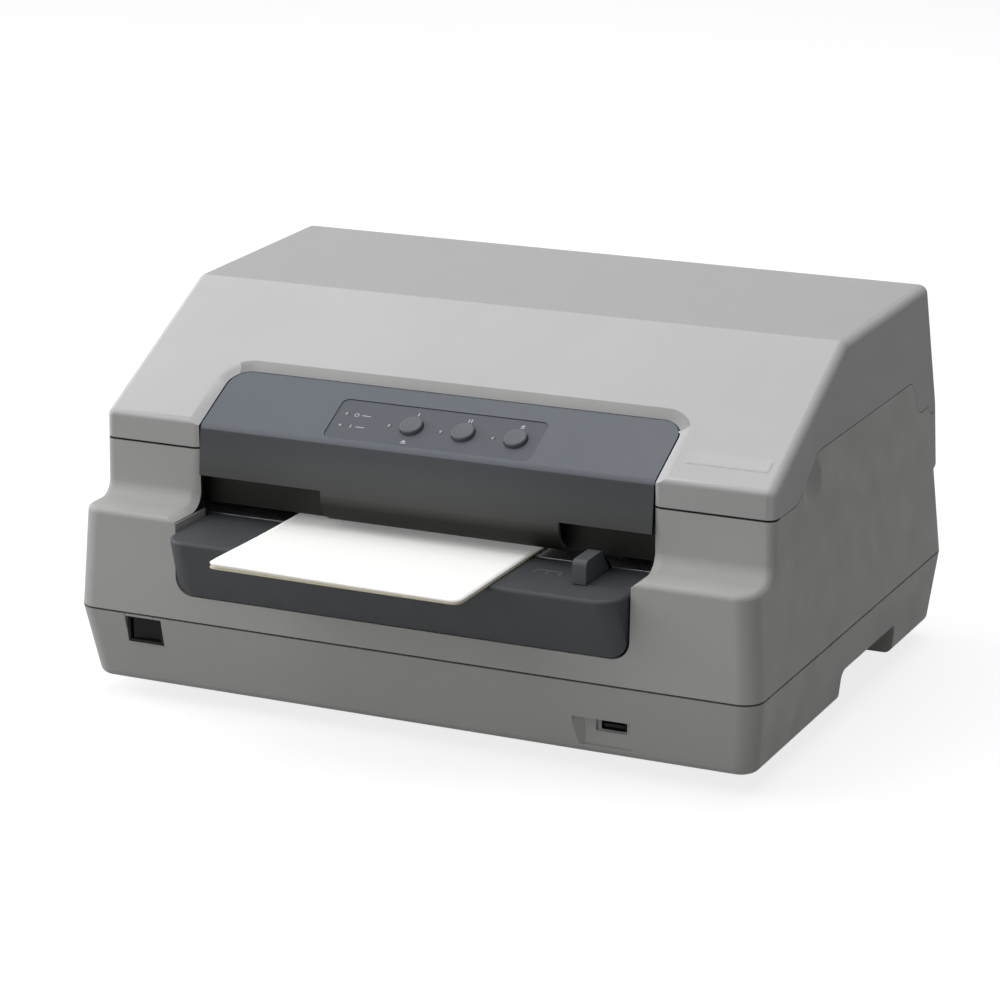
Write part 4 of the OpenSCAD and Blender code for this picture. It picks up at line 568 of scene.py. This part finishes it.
def lean_fillet(bm):
    """Draws the fillet's hollow back to the leaning band, and its outer end in under the rolled end."""
    ends = [
        face for face in bm.faces
        if all(at_solid_end(vert) and vert.co.z / MM > SOLID_END_LOW for vert in face.verts)
    ]
    bmesh.ops.delete(bm, geom=ends, context="FACES_ONLY")
    for vert in bm.verts:
        y, z = vert.co.y / MM - FILLET_Y, vert.co.z / MM - FILLET_Z
        at_end = at_solid_end(vert)
        in_quarter = -NEAR < y < FILLET_R + NEAR and -FILLET_R - NEAR < z < NEAR
        if in_quarter and abs(math.hypot(y, z) - FILLET_R) < ON_FILLET:
            vert.co.y = (FILLET_Y + y * FILLET_REACH / FILLET_R) * MM
            if at_end:
                vert.co.x = math.copysign((END_X + END_LAP) * MM, vert.co.x)
        elif at_end and abs(z) < NEAR and abs(vert.co.y / MM - BAND_ARC[1]) < AT_END:
            vert.co.x = math.copysign(BAND_ARC[0] * MM, vert.co.x)


def make_fillet_end(name, side):
    """The outer end of a shoulder's fillet: its edge rolls round from the shoulder up into the band."""
    bm = bmesh.new()
    sections = []
    for k in range(END_STEPS + 1):
        t = math.radians(90.0 * k / END_STEPS)
        y = FILLET_Y + FILLET_REACH * math.sin(t)
        z = FILLET_Z - FILLET_R * math.cos(t)
        r = END_EDGE_R + END_EDGE_GROWS * k / END_STEPS
        edge_x = SIDE_X - SIDE_LEAN * (z - SHOULDER_Z)
        outline = [(END_X, END_PROUD)]
        for i in range(END_TURNS + 1):
            a = math.radians(90.0 * i / END_TURNS)
            outline.append((edge_x - r + r * math.sin(a), END_PROUD - r * (1.0 - math.cos(a))))
        outline += [(edge_x, -END_DEEP), (END_X, -END_DEEP)]
        sections.append([
            bm.verts.new(Vector((side * x, y - d * math.sin(t), z + d * math.cos(t))) * MM) for x, d in outline
        ])
    for one, two in zip(sections, sections[1:]):
        join_rings(bm, one, two)
    bm.faces.new(sections[0])
    bm.faces.new(list(reversed(sections[-1])))
    bmesh.ops.recalc_face_normals(bm, faces=bm.faces)
    piece = new_piece(name, bm, MATERIALS["case"], "case")
    mark_sharp(piece.data, END_SHARP_FROM)


def lean_guide(bm):
    """The top of the edge guide ends further forward than its foot, as in the photograph."""
    for vert in bm.verts:
        if vert.co.z > GUIDE_TOP_Z and vert.co.y > GUIDE_TOP_Y:
            vert.co.y -= GUIDE_LEAN * MM


RESHAPE = {"middle_case": lean_fillet, "edge_guide": lean_guide}

MOUTH_X = -3.4            # the middle of the mouth
MOUTH_SIDES = (126, 134)  # its walls lie between these, to each side
MOUTH_BACK = -40
MOUTH_LOW = 104
BEVEL_HALF, BEVEL_LOW = 128, 158     # the bevel over the panel
PANEL_SIDE = 124


def is_panel_front(at, way):
    return way.z < 0.35 and way.y < -0.2


def is_panel_side(at, way):
    return abs(way.x) > 0.8 and abs(at.x - MOUTH_X) > PANEL_SIDE


def is_mouth_top(at, way):
    return abs(at.x) < BEVEL_HALF and at.z > BEVEL_LOW and way.y < -0.58 and way.z > 0.2


def is_mouth_side(at, way):
    beside = MOUTH_SIDES[0] < abs(at.x - MOUTH_X) < MOUTH_SIDES[1]
    return abs(way.x) > 0.9 and beside and at.y < MOUTH_BACK and at.z > MOUTH_LOW


# The faces that are painted darker, as painted shade: the piece, the finish, and the rule that picks them by
# place and normal
PAINTED = (
    # painted shade on the panel's front under the overhang
    ("control_panel", "slate_painted_shade", is_panel_front),
    # painted shade on the bevel over the panel
    ("top_cover", "cover_painted_shade", is_mouth_top),
    # Painted shade: the panel's sides and the mouth's side walls painted black
    ("control_panel", "black", is_panel_side),
    ("top_cover", "black", is_mouth_side),
    ("middle_case", "black", is_mouth_side),
)


def paint_faces(piece, material, wanted):
    """Gives the faces that a rule picks a second material."""
    piece.data.materials.append(material)
    number = len(piece.data.materials) - 1
    for face in piece.data.polygons:
        if wanted(face.center / MM, face.normal):
            face.material_index = number


# ---------------------------------------------------------------- floor

FLOOR_HALF = 9.0
FLOOR_SEEN = ((0.30, 0.30, 0.30), (0.32, 0.32, 0.32))
FLOOR_BOUNCE = (0.33, 0.33, 0.33, 1.0)     # what it throws back onto the object
FLOOR_GLOW = 0.80                          # what keeps it near white where it is seen


def make_floor():
    """A pale sheet that fades into the background, with the soft shadow of the object on it."""
    mesh = bpy.data.meshes.new("floor")
    h = FLOOR_HALF
    mesh.from_pydata([(-h, -h, 0), (h, -h, 0), (h, h, 0), (-h, h, 0)], [], [(0, 1, 2, 3)])
    floor = bpy.data.objects.new("floor", mesh)
    SCENE.collection.objects.link(floor)
    s = Shade("floor_paper")
    seen = s.ramp(s.noise(3, 2), *FLOOR_SEEN)
    mix = s.nodes.new("ShaderNodeMix")
    mix.data_type = "RGBA"
    mix.inputs[MIX_FIRST].default_value = FLOOR_BOUNCE
    direct = seen_directly(s.nodes, s.tree.links)
    s.link(direct, mix.inputs[0])
    s.link(seen, mix.inputs[MIX_SECOND])
    s.link(mix.outputs[MIX_COLOUR], s.shader.inputs["Base Color"])
    s.link(s.math("MULTIPLY", direct, FLOOR_GLOW), s.shader.inputs["Emission Strength"])
    s.set("Emission Color", (1.0, 1.0, 1.0, 1.0))
    s.set("Roughness", 0.9)
    s.set("Specular IOR Level", 0.1)
    set_material(floor, s.material)


# ---------------------------------------------------------------- places on the slope

SLOPE = math.radians(27.4528)
COVER_BEND = Vector((0.0, -85.8, 149.4)) * MM      # where the cover's slope begins
PANEL_BEND = Vector((0.0, -84.601, 147.093)) * MM  # where the control panel's slope begins
UP_SLOPE = Vector((0.0, math.cos(SLOPE), math.sin(SLOPE)))
OFF_SLOPE = Vector((0.0, -math.sin(SLOPE), math.cos(SLOPE)))


def on_slope(origin, x, v, w):
    """A point x to the right, v up the slope and w out of it, in millimetres."""
    return origin + Vector((x * MM, 0, 0)) + UP_SLOPE * v * MM + OFF_SLOPE * w * MM


def new_piece(name, bm, material, body, smooth=True):
    """Makes a piece of a finished bmesh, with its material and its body."""
    mesh = bpy.data.meshes.new(name)
    bm.normal_update()
    bm.to_mesh(mesh)
    bm.free()
    piece = bpy.data.objects.new(name, mesh)
    SCENE.collection.objects.link(piece)
    set_material(piece, material)
    for face in mesh.polygons:
        face.use_smooth = smooth
    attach(piece, body)
    return piece


def arc_points(centre, radius, start, end, steps=6):
    """Points on an arc, in degrees, as pairs."""
    turns = [math.radians(start + (end - start) * i / steps) for i in range(steps + 1)]
    return [(centre[0] + radius * math.cos(t), centre[1] + radius * math.sin(t)) for t in turns]


def rounded_outline(x0, x1, y0, y1, r):
    """A rectangle with round corners, as pairs."""
    return (
        arc_points((x1 - r, y0 + r), r, 270, 360) + arc_points((x1 - r, y1 - r), r, 0, 90)
        + arc_points((x0 + r, y1 - r), r, 90, 180) + arc_points((x0 + r, y0 + r), r, 180, 270)
    )


def join_rings(bm, one, two):
    """Faces between two rings of points with as many points each."""
    count = len(one)
    for i in range(count):
        j = (i + 1) % count
        bm.faces.new((one[i], one[j], two[j], two[i]))


def add_slab(bm, outline, place, low, high):
    """Adds a flat slab with the given outline between two heights; place turns (x, v, w) into a point."""
    bottom = [bm.verts.new(place(x, v, low)) for x, v in outline]
    top = [bm.verts.new(place(x, v, high)) for x, v in outline]
    bm.faces.new(list(reversed(bottom)))
    bm.faces.new(top)
    join_rings(bm, bottom, top)


# ---------------------------------------------------------------- pieces made here

PLATE = (136.5, 180.0, 13.0, 22.0)
PLATE_RIM = 0.7


def make_bare_plate():
    """The bare plate on the cover's slope."""
    bm = bmesh.new()

    def place(x, v, w):
        return on_slope(COVER_BEND, x, v, w)
    add_slab(bm, rounded_outline(*PLATE, 0.9), place, -0.05, 0.16)
    inner = (PLATE[0] + PLATE_RIM, PLATE[1] - PLATE_RIM, PLATE[2] + PLATE_RIM, PLATE[3] - PLATE_RIM)
    add_slab(bm, rounded_outline(*inner, PLATE_RIM), place, 0.1, 0.24)
    new_piece("bare_plate", bm, MATERIALS["plate"], "cover", False)


RECESS_X = -3.0
RECESS_V = 17.6
KEY_FIRST, KEY_PITCH = -13.3, 29.3    # from the middle of the recess
KEY_AT = [RECESS_X + KEY_FIRST + KEY_PITCH * i for i in range(3)]
OVERLAY_TOP = -0.4


RING_STEPS = 24


def ring(bm, x, v, outer, inner, place, low, high):
    """Adds a flat ring."""
    turns = [2 * math.pi * i / RING_STEPS for i in range(RING_STEPS)]
    rows = []
    for r, w in ((outer, low), (outer, high), (inner, high), (inner, low)):
        rows.append([bm.verts.new(place(x + r * math.cos(t), v + r * math.sin(t), w)) for t in turns])
    for k in range(4):
        join_rings(bm, rows[k], rows[(k + 1) % 4])


def make_panel_signs():
    """Generic signs printed on the panel: a ring, a bar, and simple shapes over the keys."""
    bm = bmesh.new()
    low, high = OVERLAY_TOP - 0.02, OVERLAY_TOP + 0.035

    def place(x, v, w):
        return on_slope(PANEL_BEND, x, v, w)

    def bar(x0, x1, v0, v1):
        add_slab(bm, [(x0, v0), (x1, v0), (x1, v1), (x0, v1)], place, low, high)

    def triangle(x, v, half, rise):
        add_slab(bm, [(x - half, v), (x + half, v), (x, v + rise)], place, low, high)
    light_x = RECESS_X - 58.5 + 6.4
    ring(bm, light_x + 5.6, RECESS_V + 4.0, 1.3, 0.95, place, low, high)
    bar(light_x + 8.6, light_x + 13.6, RECESS_V + 3.8, RECESS_V + 4.25)
    bar(light_x + 5.4, light_x + 5.8, RECESS_V - 5.8, RECESS_V - 3.4)
    bar(light_x + 8.6, light_x + 13.6, RECESS_V - 4.8, RECESS_V - 4.35)
    first, second, third = KEY_AT
    triangle(first, RECESS_V - 11.3, 1.5, 1.6)
    bar(first - 1.5, first + 1.5, RECESS_V - 12.2, RECESS_V - 11.75)
    for side in (-0.75, 0.75):
        bar(second + side - 0.3, second + side + 0.3, RECESS_V + 8.4, RECESS_V + 10.7)
    bar(first - 0.25, first + 0.25, RECESS_V + 8.4, RECESS_V + 10.7)
    for side in (-0.7, 0.7):
        triangle(third, RECESS_V + 9.35 + side, 1.3, 1.1)
    new_piece("panel_signs", bm, MATERIALS["ink"], "case", False)


TABLE_TOP = 98.0
CASE_SHIFT = 23.5


def make_table_marks():
    """Printed marks for the edge guide: a line with three short ones before it."""
    bm = bmesh.new()

    def place(x, y, z):
        return Vector((x, y + CASE_SHIFT, z)) * MM

    def bar(x0, x1, y0, y1):
        add_slab(bm, [(x0, y0), (x1, y0), (x1, y1), (x0, y1)], place, TABLE_TOP - 0.02, TABLE_TOP + 0.04)
    bar(66.0, 80.0, -119.6, -119.0)
    for i in range(3):
        bar(66.0 + 7.0 * i, 66.5 + 7.0 * i, -124.5, -121.0)
    new_piece("table_marks", bm, MATERIALS["faint_ink"], "case", False)


BOOK = (-84.0, 56.0, -163.5, 8.5)
BOOK_LOW = 98.3
BOOK_CORNER = 4.5
BOOK_ACROSS, BOOK_ALONG = 56, 68      # the squares that a leaf's sheet is cut into
LIFT_ACROSS, LIFT_ALONG = 62.0, 50.0  # how far the lift of the corner reaches
LIFT_FADE = 1.6
BOW, BOW_ALONG = 0.35, 60.0           # the slight bow of the front end, and how far back it goes
LEAVES = (
    ("back_leaf", 0.0, 0.55, 0.0, 0.5, "edge_paper"),
    ("middle_leaves", 0.58, 1.35, 0.7, 0.8, "leaf_paper"),
    ("front_leaf", 1.38, 1.95, 0.1, 1.3, "page"),
)
LIFT_MOST = LEAVES[-1][4]


def leaf(name, low, high, inset, lift, material):
    """One leaf of the passbook: round corners, and its front left corner lifted."""
    x0, x1, y0, y1 = BOOK[0] + inset, BOOK[1] - inset, BOOK[2] + inset, BOOK[3] - inset
    radius, across, along = BOOK_CORNER, BOOK_ACROSS, BOOK_ALONG
    bm = bmesh.new()

    def into_corner(x, y):
        cx = min(max(x, x0 + radius), x1 - radius)
        cy = min(max(y, y0 + radius), y1 - radius)
        dx, dy = x - cx, y - cy
        reach = max(abs(dx), abs(dy))
        length = math.hypot(dx, dy)
        if length < 1e-9:
            return x, y
        return cx + dx * reach / length, cy + dy * reach / length

    def raised(x, y):
        far = math.hypot((x - x0) / LIFT_ACROSS, (y - y0) / LIFT_ALONG)
        bow = BOW * math.sin(math.pi * (x - x0) / (x1 - x0)) * max(0.0, 1.0 - (y - y0) / BOW_ALONG)
        return lift * math.exp(-far * far * LIFT_FADE) + bow * (lift / LIFT_MOST)
    rows = []
    for level in (low, high):
        grid = []
        for j in range(along + 1):
            for i in range(across + 1):
                x, y = into_corner(x0 + (x1 - x0) * i / across, y0 + (y1 - y0) * j / along)
                grid.append(bm.verts.new(Vector((x, y, BOOK_LOW + level + raised(x, y))) * MM))
        rows.append(grid)

    def at(level, i, j):
        return rows[level][j * (across + 1) + i]
    for j in range(along):
        for i in range(across):
            bm.faces.new((at(1, i, j), at(1, i + 1, j), at(1, i + 1, j + 1), at(1, i, j + 1)))
            bm.faces.new((at(0, i, j + 1), at(0, i + 1, j + 1), at(0, i + 1, j), at(0, i, j)))
    rim = [(i, 0) for i in range(across)] + [(across, j) for j in range(along)]
    rim += [(i, along) for i in range(across, 0, -1)] + [(0, j) for j in range(along, 0, -1)]
    for k, (i, j) in enumerate(rim):
        m, n = rim[(k + 1) % len(rim)]
        bm.faces.new((at(0, i, j), at(0, m, n), at(1, m, n), at(1, i, j)))
    return new_piece("passbook_" + name, bm, MATERIALS[material], "passbook")


def make_passbook():
    """Three leaves; the first stands in for the CAD passbook."""
    for number, args in enumerate(LEAVES):
        piece = leaf(*args)
        if number == 0:
            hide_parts("passbook")


# ---------------------------------------------------------------- the whole

make_camera()
make_light()
make_floor()
skins = {name: skin(name) for name in sorted(NODES) if name != "passbook"}
for painted, finish, rule in PAINTED:
    paint_faces(skins[painted], MATERIALS[finish], rule)
make_fillet_end("fillet_end_left", -1)
make_fillet_end("fillet_end_right", 1)
make_passbook()
make_bare_plate()
make_panel_signs()
make_table_marks()
